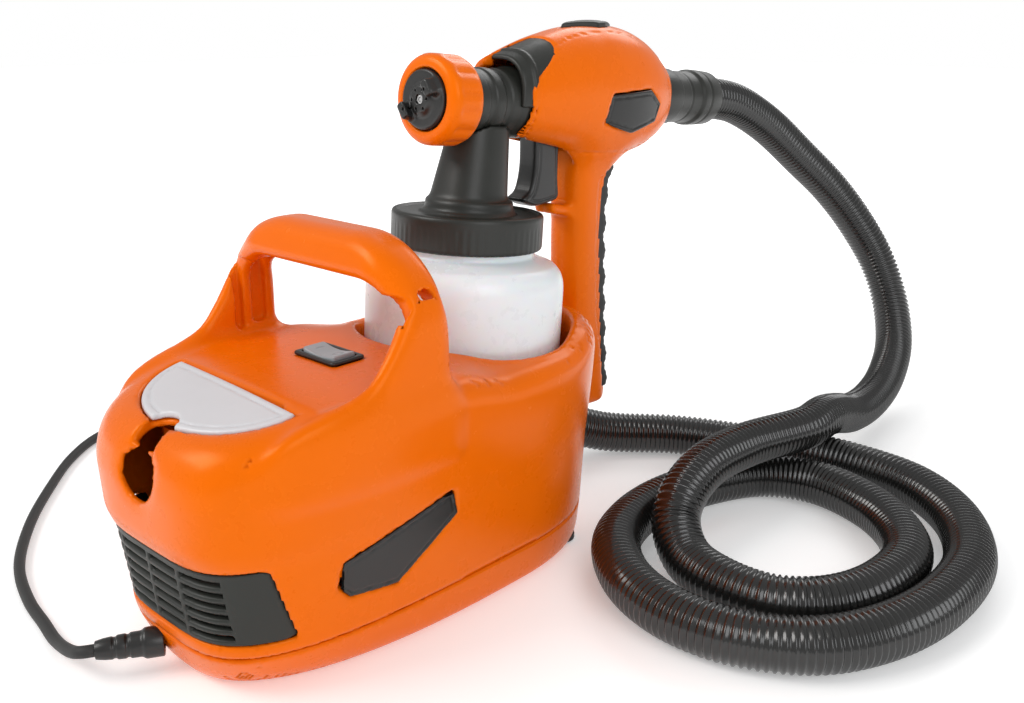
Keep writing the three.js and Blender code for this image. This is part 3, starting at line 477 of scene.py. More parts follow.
def finished(name, mesh, body, slot, nodes=(), look=None, smooth=True, angle=None):
    shape = bmesh.new()
    shape.from_mesh(mesh)
    bmesh.ops.remove_doubles(shape, verts=shape.verts, dist=1e-6)
    bmesh.ops.recalc_face_normals(shape, faces=shape.faces)
    shape.to_mesh(mesh)
    shape.free()
    mesh.polygons.foreach_set("use_smooth", [smooth] * len(mesh.polygons))
    if angle:
        mesh.set_sharp_from_angle(angle=math.radians(angle))
    if not mesh.materials:
        mesh.materials.append(look or finish_of_slot[slot])
    piece = bpy.data.objects.new(name.replace(" ", "_"), mesh)
    scene.collection.objects.link(piece)
    if body:
        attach(piece, body)
    if nodes:
        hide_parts(*nodes)
    return piece


def carved(name, field, low, high, step, body, slot, nodes=(), look=None):
    points, faces = carve(field, low, high, step)
    piece = new_object(name, placed(points), faces, body, slot, nodes, look)
    print(f"{name}: {len(piece.data.polygons)} faces")
    return piece


# %% Turned and swept pieces
def turned(profile, segments=64, closed=False):
    """A surface of revolution about Z from [radius, height] points. Points on the axis become one."""
    points, faces, rings = [], [], []
    for radius, height in profile:
        if radius < 1e-6:
            rings.append([len(points)] * segments)
            points.append((0, 0, height))
        else:
            rings.append(range(len(points), len(points) + segments))
            for i in range(segments):
                angle = 2 * math.pi * i / segments
                points.append((radius * math.cos(angle), radius * math.sin(angle), height))
    pairs = list(zip(rings, rings[1:])) + ([(rings[-1], rings[0])] if closed else [])
    for low, high in pairs:
        for i in range(segments):
            j = (i + 1) % segments
            corner = list(dict.fromkeys([low[i], low[j], high[j], high[i]]))
            if len(corner) > 2:
                faces.append(corner)
    return np.array(points, float), faces


def softened(profile, radius=0.6, closed=False):
    """The same profile with each corner rounded by three points."""
    profile = [np.array(p, float) for p in profile]
    out = []
    count = len(profile)
    for i, here in enumerate(profile):
        if not closed and i in (0, count - 1):
            out.append(here)
            continue
        before, after = profile[i - 1], profile[(i + 1) % count]
        reach = min(radius, 0.45 * np.linalg.norm(before - here), 0.45 * np.linalg.norm(after - here))
        start = here + (before - here) / max(np.linalg.norm(before - here), 1e-9) * reach
        end = here + (after - here) / max(np.linalg.norm(after - here), 1e-9) * reach
        out += [start, 0.25 * start + 0.5 * here + 0.25 * end, end]
    return out


def along_bore(points):
    """Turns a piece made about Z so that its axis lies along the nozzle's, heights becoming distances."""
    x, y, z = np.asarray(points, float).T
    return np.stack([x, z, BORE - y], 1)


print("tools ready")

# %% [markdown]
# ## Air hose and mains lead
#
# Both run freely over the floor, so each has a true length and a true thickness. The hose is one
# corrugated tube from the gun's sleeve to the socket at the back. Its loops stay on the floor.
#
# The corrugations are a Geometry Nodes tree: it cuts the centreline into short steps, swells and
# narrows a circle along them, and sweeps it.

# %% The routes
HOSE_ROUTE = [
    (0, 238.2, 243.2), (0.3, 256, 241.8), (1.5, 280, 237), (5, 322, 219), (14, 359, 193),
    (26, 390, 167), (40, 411, 139), (55, 426, 107), (70, 425, 76), (85, 406, 48), (97, 368, 31),
    (104, 326, 24.5), (108, 286, 27), (112, 252, 37), (116, 226, 43.4), (118, 199, 44), (104, 145, 44),
    (103, 101, 43), (107, 72, 34), (112, 61, 24), (128, 49, 14.4), (156, 38, 14.4), (182, 39, 14.4),
    (200, 50, 14.4), (212, 67, 14.4), (219, 92, 14.4), (218, 126, 14.4), (205, 151, 14.4),
    (176, 175, 14.4), (135, 186, 14.4), (103, 172, 14.4), (85, 141, 14.4), (76, 101, 14.4),
    (78, 67, 14.4), (90, 35, 14.4), (118, 8, 14.4), (150, -4, 14.4), (181, -3, 14.4), (208, 9, 14.4),
    (226, 26, 14.4), (242, 59, 14.4), (249, 101, 14.4), (244, 149, 14.4), (219, 195, 14.4),
    (183, 223, 14.4), (142, 230, 14.4), (102, 225, 14.4), (67, 211, 14.4), (22, 192, 14.4),
    (-14, 158, 17), (-32, 130, 27), (-36, 108, 32), (-36, 95, 32),
]
LEAD_ROUTE = [
    (-25.2, -214.5, 15), (-27.8, -218.8, 15), (-36, -220, 12), (-62, -217, 5), (-85, -213, 3.4),
    (-111, -209, 3.4), (-151, -197, 3.4), (-199, -170, 3.4), (-244, -136, 3.4), (-277, -107, 3.4),
    (-299, -79, 3.4), (-308, -53, 3.4), (-303, -18, 3.4), (-282, 10, 3.4), (-262, 27, 3.4),
]
TAIL_ROUTE = [(-175, 77, 6), (-159, 70, 8.4), (-148, 62.3, 8.4)]
COIL_CENTRE = np.array([-205.0, 30.0])


def through(points, step=2.0):
    """A line through the points at even spacing, by centripetal Catmull-Rom."""
    points = np.asarray(points, float)
    ends = np.concatenate([[2 * points[0] - points[1]], points, [2 * points[-1] - points[-2]]])
    line = []
    for p0, p1, p2, p3 in zip(ends, ends[1:], ends[2:], ends[3:]):
        t1 = np.linalg.norm(p1 - p0) ** 0.5
        t2 = t1 + np.linalg.norm(p2 - p1) ** 0.5
        t3 = t2 + np.linalg.norm(p3 - p2) ** 0.5
        for t in np.linspace(t1, t2, 24, endpoint=False):
            a1 = (t1 - t) / t1 * p0 + t / t1 * p1
            a2 = (t2 - t) / (t2 - t1) * p1 + (t - t1) / (t2 - t1) * p2
            a3 = (t3 - t) / (t3 - t2) * p2 + (t - t2) / (t3 - t2) * p3
            b1 = (t2 - t) / t2 * a1 + t / t2 * a2
            b2 = (t3 - t) / (t3 - t1) * a2 + (t - t1) / (t3 - t1) * a3
            line.append((t2 - t) / (t2 - t1) * b1 + (t - t1) / (t2 - t1) * b2)
    line = np.array(line + [points[-1]])
    run = np.concatenate([[0], np.cumsum(np.linalg.norm(np.diff(line, axis=0), axis=1))])
    even = np.linspace(0, run[-1], int(run[-1] / step) + 1)
    return np.stack([np.interp(even, run, line[:, k]) for k in range(3)], 1)


def length_of(line):
    return float(np.linalg.norm(np.diff(line, axis=0), axis=1).sum())


def coiled_lead():
    """The lead: out from the relief, six turns of the coil, then the short tail to the plug."""
    turns = [(39.3, 3.4), (33.0, 3.4), (33.0, 9.7), (39.3, 9.7), (39.3, 16.0), (33.2, 16.0), (39.8, 15.5)]
    start, end = math.radians(150), math.radians(75 - 360 * 6)
    coil = []
    for angle in np.arange(start, end, -math.radians(6)):
        done = (start - angle) / (2 * math.pi)
        turn = min(int(done), len(turns) - 2)
        share = smooth_step(done - turn, 0.82, 1.0)
        radius, height = np.array(turns[turn]) * (1 - share) + np.array(turns[turn + 1]) * share
        radius += 6 * (1 - smooth_step(done, 0, 0.16))
        leaving = smooth_step(done, 5.98, 6.2)
        coil.append((COIL_CENTRE[0] + (radius + 5 * leaving) * math.cos(angle),
                     COIL_CENTRE[1] + (radius + 5 * leaving) * math.sin(angle), height - 8 * leaving))
    return through(LEAD_ROUTE + coil + TAIL_ROUTE, 2.0)


hose_line = placed(through(HOSE_ROUTE, 1.5))
lead_line = placed(coiled_lead())
print("hose", round(length_of(hose_line), 3), "m | lead", round(length_of(lead_line), 3), "m")


# %% The corrugated hose, by Geometry Nodes
def value_node(tree, operation, first, second=None):
    node = tree.nodes.new("ShaderNodeMath")
    node.operation = operation
    for socket, value in zip(node.inputs, (first, second)):
        if isinstance(value, bpy.types.NodeSocket):
            tree.links.new(value, socket)
        elif value is not None:
            socket.default_value = value
    return node.outputs[0]


def new_tree(name, inputs):
    tree = bpy.data.node_groups.new(name, "GeometryNodeTree")
    tree.interface.new_socket("Geometry", in_out="INPUT", socket_type="NodeSocketGeometry")
    for label, kind, value in inputs:
        item = tree.interface.new_socket(label, in_out="INPUT", socket_type=kind)
        if value is not None:
            item.default_value = value
    tree.interface.new_socket("Geometry", in_out="OUTPUT", socket_type="NodeSocketGeometry")
    return tree, tree.nodes.new("NodeGroupInput"), tree.nodes.new("NodeGroupOutput")


def corrugated_tree():
    """Sweeps a circle that swells and narrows once per rib."""
    tree, given, result = new_tree("corrugated tube", [
        ("Pitch", "NodeSocketFloat", 0.0035), ("Crest radius", "NodeSocketFloat", 0.014),
        ("Rib depth", "NodeSocketFloat", 0.0016), ("Step", "NodeSocketFloat", 0.0007),
        ("Finish", "NodeSocketMaterial", None)])
    link = tree.links.new
    cut = tree.nodes.new("GeometryNodeResampleCurve")
    cut.mode = "LENGTH"
    link(given.outputs["Geometry"], cut.inputs["Curve"])
    link(given.outputs["Step"], cut.inputs["Length"])
    along = tree.nodes.new("GeometryNodeSplineParameter")
    phase = value_node(tree, "DIVIDE", along.outputs["Length"], given.outputs["Pitch"])
    wave = value_node(tree, "COSINE", value_node(tree, "MULTIPLY", phase, 2 * math.pi))
    wave = value_node(tree, "MULTIPLY", value_node(tree, "SUBTRACT", 1.0, wave), 0.5)
    wave = value_node(tree, "POWER", wave, 1.6)
    size = value_node(tree, "SUBTRACT", given.outputs["Crest radius"],
                      value_node(tree, "MULTIPLY", wave, given.outputs["Rib depth"]))
    widen = tree.nodes.new("GeometryNodeSetCurveRadius")
    link(cut.outputs["Curve"], widen.inputs["Curve"])
    link(size, widen.inputs["Radius"])
    ring = tree.nodes.new("GeometryNodeCurvePrimitiveCircle")
    ring.inputs["Resolution"].default_value = 26
    ring.inputs["Radius"].default_value = 1.0
    sweep = tree.nodes.new("GeometryNodeCurveToMesh")
    link(widen.outputs["Curve"], sweep.inputs["Curve"])
    link(ring.outputs["Curve"], sweep.inputs["Profile Curve"])
    if "Scale" in sweep.inputs:
        link(size, sweep.inputs["Scale"])
    sweep.inputs["Fill Caps"].default_value = True
    real = tree.nodes.new("GeometryNodeRealizeInstances")
    dress = tree.nodes.new("GeometryNodeSetMaterial")
    link(sweep.outputs["Mesh"], real.inputs["Geometry"])
    link(real.outputs["Geometry"], dress.inputs["Geometry"])
    link(given.outputs["Finish"], dress.inputs["Material"])
    link(dress.outputs["Geometry"], result.inputs["Geometry"])
    return tree


def line_curve(name, line):
    data = bpy.data.curves.new(name, "CURVE")
    data.dimensions = "3D"
    spline = data.splines.new("POLY")
    spline.points.add(len(line) - 1)
    spline.points.foreach_set("co", np.c_[line, np.ones(len(line))].ravel())
    return data


def grown(name, source, tree, settings):
    """The mesh that a node tree makes from a source, as a finished mesh without the modifier."""
    host = bpy.data.objects.new(name + " source", source)
    scene.collection.objects.link(host)
    modifier = host.modifiers.new("grow", "NODES")
    modifier.node_group = tree
    sockets = {item.name: item.identifier for item in tree.interface.items_tree if item.in_out == "INPUT"}
    for label, value in settings.items():
        modifier[sockets[label]] = value
    graph = bpy.context.evaluated_depsgraph_get()
    mesh = bpy.data.meshes.new_from_object(host.evaluated_get(graph), depsgraph=graph)
    mesh.name = name
    bpy.data.objects.remove(host)
    return mesh


CORRUGATED = corrugated_tree()
hose_mesh = grown("air hose", line_curve("hose line", hose_line), CORRUGATED,
                  {"Pitch": 0.0036, "Crest radius": 0.014, "Rib depth": 0.0017, "Step": 0.0009,
                   "Finish": hose_black})
hose = finished("air_hose", hose_mesh, None, "hose_plastic", ("air_hose_riser", "air_hose_loops"))
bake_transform(hose)
print("hose faces", len(hose.data.polygons))

# %% [markdown]
# ## The mains lead
#
# The lead is a thin, plain cord, so a curve with a round bevel is enough. A node tree would give it
# nothing more. The turns of its coil come from `coiled_lead` above.

# %% The mains lead
lead_data = line_curve("lead", lead_line)
lead_data.bevel_depth = LEAD_DIAMETER / 2000
lead_data.bevel_resolution = 3
lead_data.use_fill_caps = True
lead_data.materials.append(rubber)
lead = bpy.data.objects.new("mains_lead", lead_data)
scene.collection.objects.link(lead)
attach(lead, "base")
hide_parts("power_cord", "cord_coil", "cord_tail")

# %% [markdown]
# ## The housing
#
# One moulding carries everything: a boat-shaped body with a carrying arch, a well for the cup at
# the back, and a window for the grille at the nose. Its outline is a superellipse whose width,
# length and bluntness change with height, taken from the table below.

# %% The body's outline
MIDDLE_Y = -15.0
LEVELS = np.array([  # height, half width, front, rear, bluntness at the nose
    (1.2, 63, -181, 73, 2.5), (8, 65, -186, 74, 2.9), (24, 67, -191, 75, 3.8),
    (71, 70, -195, 77, 4.2), (77, 71, -198, 77.5, 4.2), (104, 73.8, -198.5, 79.2, 4.2),
    (121, 75, -194, 80, 4), (150, 74, -190, 79, 3.8),
])
heights = np.arange(0, 151.0)
level_table = []
for column in range(1, 5):
    values = np.interp(heights, LEVELS[:, 0], LEVELS[:, column])
    padded_values = np.pad(values, 4, mode="edge")
    level_table.append(np.convolve(padded_values, np.ones(9) / 9, mode="valid"))


def side(x, y, z):
    """Distance outside the body's wall, negative inside."""
    half, front, rear, blunt = (np.interp(z, heights, column) for column in level_table)
    ahead = y < MIDDLE_Y
    length = np.where(ahead, MIDDLE_Y - front, rear - MIDDLE_Y)
    power = np.where(ahead, blunt, 2.3)
    across, along = np.abs(x) / half, np.abs(y - MIDDLE_Y) / length
    radius = np.maximum(across ** power + along ** power, 1e-9) ** (1 / power)
    lean = radius ** (1 - power)
    slope = np.sqrt((across ** (power - 1) * lean / half) ** 2 + (along ** (power - 1) * lean / length) ** 2)
    return (radius - 1) / np.maximum(slope, 1e-4)


def deck_height(x, y):
    """The deck slopes down at the nose and dips beside the cup."""
    dip = smooth_step(np.abs(x), 34, 66) * (1 - smooth_step(np.abs(y + 6), 22, 62))
    crown = 1.6 * (1 - (x / 75.0) ** 2)
    return DECK - SLOPE * np.maximum(0, SLOPE_FROM - y) - 7.0 * dip + crown - 1.2


ARCH_SIDE = rounded([
    (-206, 106), (-196, 112), (-183, 122), (-168, 129), (-152, 133), (-134, 137), (-119, 143.5),
    (-110.5, 153), (-106, 163), (-103.5, 176), (-100.5, 188), (-96, 203)], 3, closed=False)
ARCH_SIDE = np.concatenate([ARCH_SIDE, [(-95, 216), (-72.5, 216), (-72.5, 100), (-206, 100)]])


def arch(x, y, z):
    """The carrying arch: two broad legs that run forward into the edge of the deck."""
    bow = box_field(x, z - 100, 75.2, 102.6, 50)
    swept = 8.5 * smooth_step(np.abs(x), 42, 74) * smooth_step(z, 146, 190)
    flank = np.maximum(outline_field(ARCH_SIDE, y - swept, z), y + 72.5)
    shape = smooth_max(smooth_max(bow, flank, 9), side(x, y, np.minimum(z, 118)), 6)
    inner = 58.5 + 0.1 * np.maximum(0, 172 - z)
    opening = smooth_max(np.abs(x) - inner, z - 182.5, 24)
    shape = cut_away(shape, opening, 7)
    behind_edge = smooth_max(side(x, y, np.full_like(z, 110.0)) + 11.5, z - 172, 10)
    return cut_away(shape, behind_edge, 9)


def arch_slots(x, y, z):
    """Two upright slots on the inner face of each leg."""
    first = box_field(y + 97, z - 158, 2.6, 20, 2.5)
    second = box_field(y + 84.5, z - 160, 4.6, 20, 3.5)
    return np.maximum(np.minimum(first, second), 54 - np.abs(x)), np.abs(x) - 68.5


BADGE = np.array([
    (-139.4, 50.8), (-136.4, 63), (-72.4, 79), (-68.4, 65), (-106.4, 40.8), (-133, 43.8)], float)


def housing(x, y, z):
    wall = side(x, y, z)
    deck = z - deck_height(x, y)
    body = smooth_max(wall, deck, 15)
    solid = smooth_min(body, arch(x, y, z), 9)
    under_lid = 3.2 + 3.1 * smooth_step(-130 - y, 0, 8) * smooth_step(56 - np.abs(x), 0, 8)
    hollow = smooth_max(wall + 3.2, deck + under_lid, 10)
    solid = cut_away(solid, hollow, 1.0)
    across, along, up = gun_coordinates(x, y, z)
    around = np.sqrt(across ** 2 + along ** 2)
    well = np.maximum(np.maximum(around - 63.2, -up - 3.4), smooth_max(body, z - 134, 2))
    solid = smooth_min(solid, well, 2.0)
    solid = cut_away(solid, np.maximum(around - 60, -0.4 - up), 4.0)
    grille_window = np.maximum(box_field(x, z - 51, 57.4, 19.4, 2), y + 120)
    solid = cut_away(solid, grille_window, 1.4)
    lid_seat = smooth_max(lid_plan(x, y, 0.4), deck_height(x, y) - 3.4 - z, 0.8)
    solid = cut_away(solid, lid_seat, 1.0)
    solid = smooth_max(solid, -np.maximum(box_field(x, y + 157, 40, 14, 4), 91 - z), 1.0)
    scoop = np.sqrt((x / 17) ** 2 + ((y + 204) / 11) ** 2 + ((z - 114) / 21) ** 2) - 1
    solid = cut_away(solid, scoop * 11, 5)
    thumb = np.maximum(np.sqrt(x ** 2 + (y + 183.5) ** 2) - 8.6, np.abs(z - 125) - 13)
    solid = cut_away(solid, thumb, 1.0)
    eye = box_field(x, z - 108, 9, 6, 1.6)
    eye_top = box_field(x, z - 120.8, 9, 3.3, 1.4)
    solid = cut_away(solid, np.maximum(np.minimum(eye, eye_top), y + 180.5), 1.0)
    rocker_hole = np.maximum(box_field(x, y - ROCKER_Y, 15.2, 9.4, 1), np.abs(z - 130) - 15)
    solid = cut_away(solid, rocker_hole, 0.8)
    badge = np.maximum(outline_field(BADGE, y, z) - 0.2, -(wall + 1.7))
    solid = cut_away(solid, np.maximum(badge, -x), 0.6)
    slots, depth = arch_slots(x, y, z)
    solid = cut_away(solid, np.maximum(slots, depth), 1.0)
    socket_hole = np.maximum(np.sqrt((x + 36) ** 2 + (z - 32) ** 2) - 18.5, 40 - y)
    solid = cut_away(solid, socket_hole, 1.0)
    return np.maximum(solid, 24.4 - z)


def bezier(a, b, c, d, steps=14):
    t = np.arange(steps)[:, None] / steps
    a, b, c, d = (np.array(p, float) for p in (a, b, c, d))
    return (1 - t) ** 3 * a + 3 * t * (1 - t) ** 2 * b + 3 * t * t * (1 - t) * c + t ** 3 * d


LID = np.concatenate([bezier((-50, -141.5), (-52.5, -162), (-33, -182.6), (0, -182.6)),
                      bezier((0, -182.6), (33, -182.6), (52.5, -162), (50, -141.5))])


def lid_plan(x, y, grow):
    """The accessory lid seen from above: straight at the back, bowed at the front."""
    return outline_field(LID, x, y) - grow


carved("housing", housing, (-79, -203, 22), (79, 84, 206), 1.9, "base", "orange_plastic",
       ("main_housing",), orange)

# %% [markdown]
# ## The tray, lid, grille and badge
#
# The lower tray continues the body's outline below a fine shadow line. The lid sits in the deck
# over its pocket, with a raised border and a thumb notch at the front. The grille is a band of the
# body's own surface with six rows of tilted louvres cut through it.


# %% Tray
def tray(x, y, z):
    wall = side(x, y, z)
    body = smooth_max(wall, 1.3 - z, 5)
    inside = np.maximum(wall + 3.0, 6 - z)
    return np.maximum(cut_away(body, inside, 1.0), z - 23.9)


carved("tray", tray, (-72, -195, 0), (72, 80, 26), 1.5, "base", "orange_plastic", ("base_tray",), orange)


# %% Accessory lid
def lid(x, y, z):
    plan = lid_plan(x, y, -0.4)
    lid_top = deck_height(x, y) + 0.5
    shape = smooth_max(plan, np.abs(z - lid_top + 1.6) - 1.6, 1.6)
    groove = np.maximum(np.abs(lid_plan(x, y, -4.2)) - 0.5, lid_top - 0.6 - z)
    shape = cut_away(shape, groove, 0.5)
    notch = np.sqrt(x ** 2 + (y + 184) ** 2) - 9.5
    return cut_away(shape, notch, 1.2)


carved("lid", lid, (-50, -189, 120), (50, -140, 140), 0.9, "lid", "light_grey_plastic",
       ("accessory_lid",), light_grey)


# %% Grille
def grille(x, y, z):
    wall = side(x, y, z)
    band = np.maximum(np.abs(wall + 2.0) - 1.6, box_field(x, z - 51, 56.9, 18.9, 2.0))
    band = smooth_max(band, y + 130, 1)
    row = (z - 51 + 14.2 + (wall + 2) * 0.5) / 5.7
    row_offset = np.abs(row - np.round(row)) * 5.7
    column = (x + 53) / 24.6
    column_offset = (0.5 - np.abs(column - np.floor(column) - 0.5)) * 24.6
    louvre = smooth_max(row_offset - 1.7, 1.3 - column_offset, 0.8)
    area = box_field(x + 2.2, z - 51, 48.5, 16.4, 1.5)
    cut = np.maximum(louvre, area)
    return cut_away(band, cut, 0.7)


carved("grille", grille, (-58, -199, 31), (58, -128, 71), 0.8, "base", "dark_grey_plastic",
       ("front_grille",), grille_grey)


# %% Badge
def badge(x, y, z):
    wall = side(x, y, z)
    plate = np.maximum(outline_field(BADGE, y, z) + 0.3, np.abs(wall + 0.6) - 0.9)
    rim = np.maximum(np.abs(outline_field(BADGE, y, z) + 2.4) - 0.45, -(wall + 0.15))
    return np.maximum(cut_away(smooth_max(plate, -200 - z, 1), rim, 0.4), -x)


carved("badge", badge, (55, -137, 33), (76, -60, 77), 0.9, "base", "black_plastic",
       ("badge_plate",), black)

# %% [markdown]
# ## The power switch
#
# On the real tool a rocker tilts in a flanged frame set into the deck. Both could be bevelled blocks,
# but a field lets the top be dished and its two marks be sunk into it. The rocker is on a body of
# its own, so that it can tilt in its frame.

# %% Rocker switch
def switch_frame(x, y, z):
    top = np.abs(z - 136.2) - 1.0
    flange = smooth_max(box_field(x, y - ROCKER_Y, 16.2, 10.2, 2.0), top, 1.0)
    skirt = np.maximum(box_field(x, y - ROCKER_Y, 14.6, 8.8, 1.5), np.abs(z - 127) - 9.5)
    return cut_away(smooth_min(flange, skirt, 0.6), box_field(x, y - ROCKER_Y, 13.1, 7.3, 0.8) + 0 * z, 0.8)


def rocker(x, y, z):
    dish = 137.4 + 0.0105 * (np.abs(x) ** 2) + 0.02 * np.abs(x)
    bar = np.maximum(box_field(x, y - ROCKER_Y, 12.6, 6.8, 1.2), 128.2 - z)
    mark = np.maximum(np.maximum(np.abs(x + 7.5) - 0.5, np.abs(y - ROCKER_Y) - 2.6), dish - 0.4 - z)
    ring = np.sqrt((x - 7.5) ** 2 + (y - ROCKER_Y) ** 2)
    mark = np.minimum(mark, np.maximum(np.abs(ring - 2.4) - 0.45, dish - 0.4 - z))
    return cut_away(smooth_max(bar, z - dish, 1.2), mark, 0.3)


carved("switch frame", switch_frame, (-18, -101, 116), (18, -77, 139), 0.7, "base", "black_plastic",
       ("switch_frame",), black)
carved("rocker", rocker, (-14, -97, 127), (14, -81, 141), 0.6, "rocker", "rocker_plastic",
       ("switch_rocker",), rocker_grey)

# %% [markdown]
# ## The spray gun
#
# The gun is drawn upright in its own millimetres, with the cup's axis as Z and the nozzle's axis at
# height 190, and then leaned back with the holder. Its shell is a swelling bulb joined to a long
# grip, split down the middle by a fine seam.


# %% Gun shell
BULB = np.array([  # along the bore, half width, lowest, highest
    (8, 18.5, 172, 211), (24, 22, 170, 218), (45, 25.5, 167, 226), (70, 28.5, 163, 233), (95, 29.5, 160, 237),
    (118, 29, 160, 236), (138, 26.5, 163, 230), (152, 22.5, 170, 221), (166, 17.5, 179, 214)])
GRIP = np.array([  # height, front, rear, half width
    (2, 92, 124, 14), (8, 90, 126, 15), (60, 86, 118, 14), (110, 81, 112, 13.5), (140, 79, 111, 13.5),
    (165, 76, 118, 15), (185, 72, 124, 17)])


def eased(table, position, steps=4):
    """Columns of a table, read smoothly at a position."""
    first, last = table[0, 0], table[-1, 0]
    stops = np.linspace(first, last, 80)
    window = np.ones(2 * steps + 1) / (2 * steps + 1)
    out = []
    for column in table.T[1:]:
        values = np.interp(stops, table[:, 0], column)
        values = np.convolve(np.pad(values, steps, mode="edge"), window, "valid")
        out.append(np.interp(position, stops, values))
    return out


def oval(a, b, half_a, half_b, power):
    """Distance to a superellipse in two coordinates."""
    ta, tb = np.abs(a) / half_a, np.abs(b) / half_b
    radius = np.maximum(ta ** power + tb ** power, 1e-9) ** (1 / power)
    lean = radius ** (1 - power)
    slope = np.sqrt((ta ** (power - 1) * lean / half_a) ** 2 + (tb ** (power - 1) * lean / half_b) ** 2)
    return (radius - 1) / np.maximum(slope, 1e-4)


def bulb(x, y, z):
    half, low, high = eased(BULB, y)
    shape = oval(x, z - (low + high) / 2, half, (high - low) / 2, 2.35)
    return smooth_max(shape, y - 163, 10)


def grip(x, y, z):
    front, rear, half = eased(GRIP, z)
    shape = oval(x, y - (front + rear) / 2, half, (rear - front) / 2, 2.8)
    return smooth_max(shape, np.maximum(2.5 - z, z - 190), 5)


def mouth_edge(x, z):
    """How far back the shell's front edge lies: the right half is cut back for the saddle."""
    level = 24 - 7 * smooth_step(184 - z, 0, 20)
    right = level + 22 * smooth_step(z, 196, 224)
    left = level - 10 * smooth_step(z, 192, 212)
    return left + (right - left) * smooth_step(x, -7, -3)


def gun_shell(x, y, z):
    mass = smooth_min(bulb(x, y, z), grip(x, y, z), 16)
    hook = smooth_max(box_field(y - 74, z - 127.5 + 0.12 * (y - 84), 11, 3.0, 2.2), np.abs(x) - 7.5, 3)
    mass = smooth_min(mass, hook, 5)
    bore = np.sqrt(x * x + (z - BORE) ** 2)
    shape = cut_away(mass, np.maximum(bulb(x, y, z) + 3.0, 22 - y), 1)
    shape = smooth_max(shape, mouth_edge(x, z) - y, 2.5)
    shape = cut_away(shape, np.maximum(bore - 20.2, y - 46), 1.2)
    shape = cut_away(shape, np.maximum(box_field(x, z - 158, 8.8, 18.5, 2), np.abs(y - 53.5) - 24.5), 2)
    sleeve_hole = np.maximum(np.sqrt(x * x + (z - SLEEVE_HEIGHT) ** 2) - 18.2, 140 - y)
    shape = cut_away(shape, sleeve_hole, 1.2)
    cap_seat = np.maximum(np.maximum(cap_outline(x, y) - 0.4, -2.4 - bulb(x, y, z)), 215 - z)
    shape = cut_away(shape, cap_seat, 0.6)
    shape = cut_away(shape, np.maximum(plate_outline(y, z) - 0.4, 26.0 - x), 0.6)
    seam = np.maximum(np.abs(x) - 0.35, -(mass + 0.7))
    shape = cut_away(shape, seam, 0.3)
    panel = np.abs(outline_field(PANEL, y, z)) - 0.4
    shape = cut_away(shape, np.maximum(panel, -(mass + 0.6)), 0.4)
    for sy, sz in ((104, 30), (98, 100), (124, 176)):
        well = np.maximum(np.sqrt((y - sy) ** 2 + (z - sz) ** 2) - 3.0, x + 8)
        shape = cut_away(shape, well, 0.8)
    strip_seat = np.maximum(np.abs(x) - 12.6, -(grip(x, y, z) + 1.6))
    strip_seat = np.maximum(strip_seat, pad_zone(x, y, z) - 0.3)
    return cut_away(shape, strip_seat, 0.5)


PANEL = rounded([
    (30, 172), (52, 165.5), (84, 163), (112, 164), (136, 169), (154, 178), (150, 205), (136, 224),
    (112, 231), (84, 231), (56, 225), (34, 213), (29, 192)], 3)
CAP = np.array([(68.5, 0), (90, 11), (98, 10), (115.5, 0), (98, -10), (90, -11)], float)
PLATE = np.array([(82, 180), (86, 197), (123, 201), (136, 193), (130, 182), (106, 175)], float)


def cap_outline(x, y):
    return outline_field(CAP, y, x)


def plate_outline(y, z):
    return outline_field(PLATE, y, z)


def pad_zone(x, y, z):
    """Where the soft strip lies down the back of the grip."""
    front, rear, _ = eased(GRIP, z)
    return np.maximum((front + rear) / 2 + 4 - y, np.abs(z - 84) - 72)


def placed_gun(points):
    return placed(on_gun(points))


def carved_gun(name, field, low, high, step, body, slot, nodes=(), look=None):
    points, faces = carve(field, low, high, step)
    piece = new_object(name, placed_gun(points), faces, body, slot, nodes, look)
    print(f"{name}: {len(piece.data.polygons)} faces")
    return piece


carved_gun("gun shell", gun_shell, (-34, -2, -2), (34, 170, 242), 1.5, "gun", "orange_plastic",
           ("gun_shell_right", "gun_shell_left"), orange)


# %% [markdown]
# ## What is set into the shell
#
# A soft strip runs down the back of the grip, a cap sits on top, a dark saddle shows at the mouth and
# a blank plate lies on the side. They could be flat sheets bent to fit. Here the strip, cap and saddle
# are offsets of the shell's own field instead, so that they follow the surface they lie in.

# %% Grip strip, top cap and side plate
def grip_pad(x, y, z):
    around = grip(x, y, z)
    wave = 2.1 + 0.9 * np.cos(2 * np.pi * z / 17) + 0.25 * np.cos(2 * np.pi * z / 4.25)
    skin = smooth_max(around - wave, np.abs(x) - 12.3, 3)
    skin = smooth_max(skin, pad_zone(x, y, z), 1.5)
    return cut_away(skin, around + 1.3, 0.5)


def top_cap(x, y, z):
    over = bulb(x, y, z)
    shape = smooth_max(cap_outline(x, y) + 0.3, np.maximum(over - 2.2, -2.0 - over), 1.4)
    groove = np.maximum(np.abs(cap_outline(x, y) + 3.6) - 0.4, 1.7 - over)
    return np.maximum(cut_away(shape, groove, 0.4), 215 - z)


def saddle(x, y, z):
    """The dark inner piece that shows where the right half is cut back."""
    over = bulb(x, y, z)
    band = smooth_max(np.abs(over + 2.2) - 1.3, y - mouth_edge(x, z) - 6, 1.2)
    band = smooth_max(band, 19 - y, 1.2)
    bar = np.maximum(np.abs(y - 27) - 1.2, np.abs(over + 1.4) - 1.3)
    return np.maximum(smooth_min(band, bar, 0.8), np.maximum(-6 - x, 188 - z))


def gun_plate(x, y, z):
    face = 29.9 - 0.004 * (y - 112) ** 2
    shape = smooth_max(plate_outline(y, z) + 0.3, np.maximum(x - face, 26.3 - x), 1.2)
    return cut_away(shape, np.maximum(np.abs(plate_outline(y, z) + 2.6) - 0.4, face - 0.5 - x), 0.4)


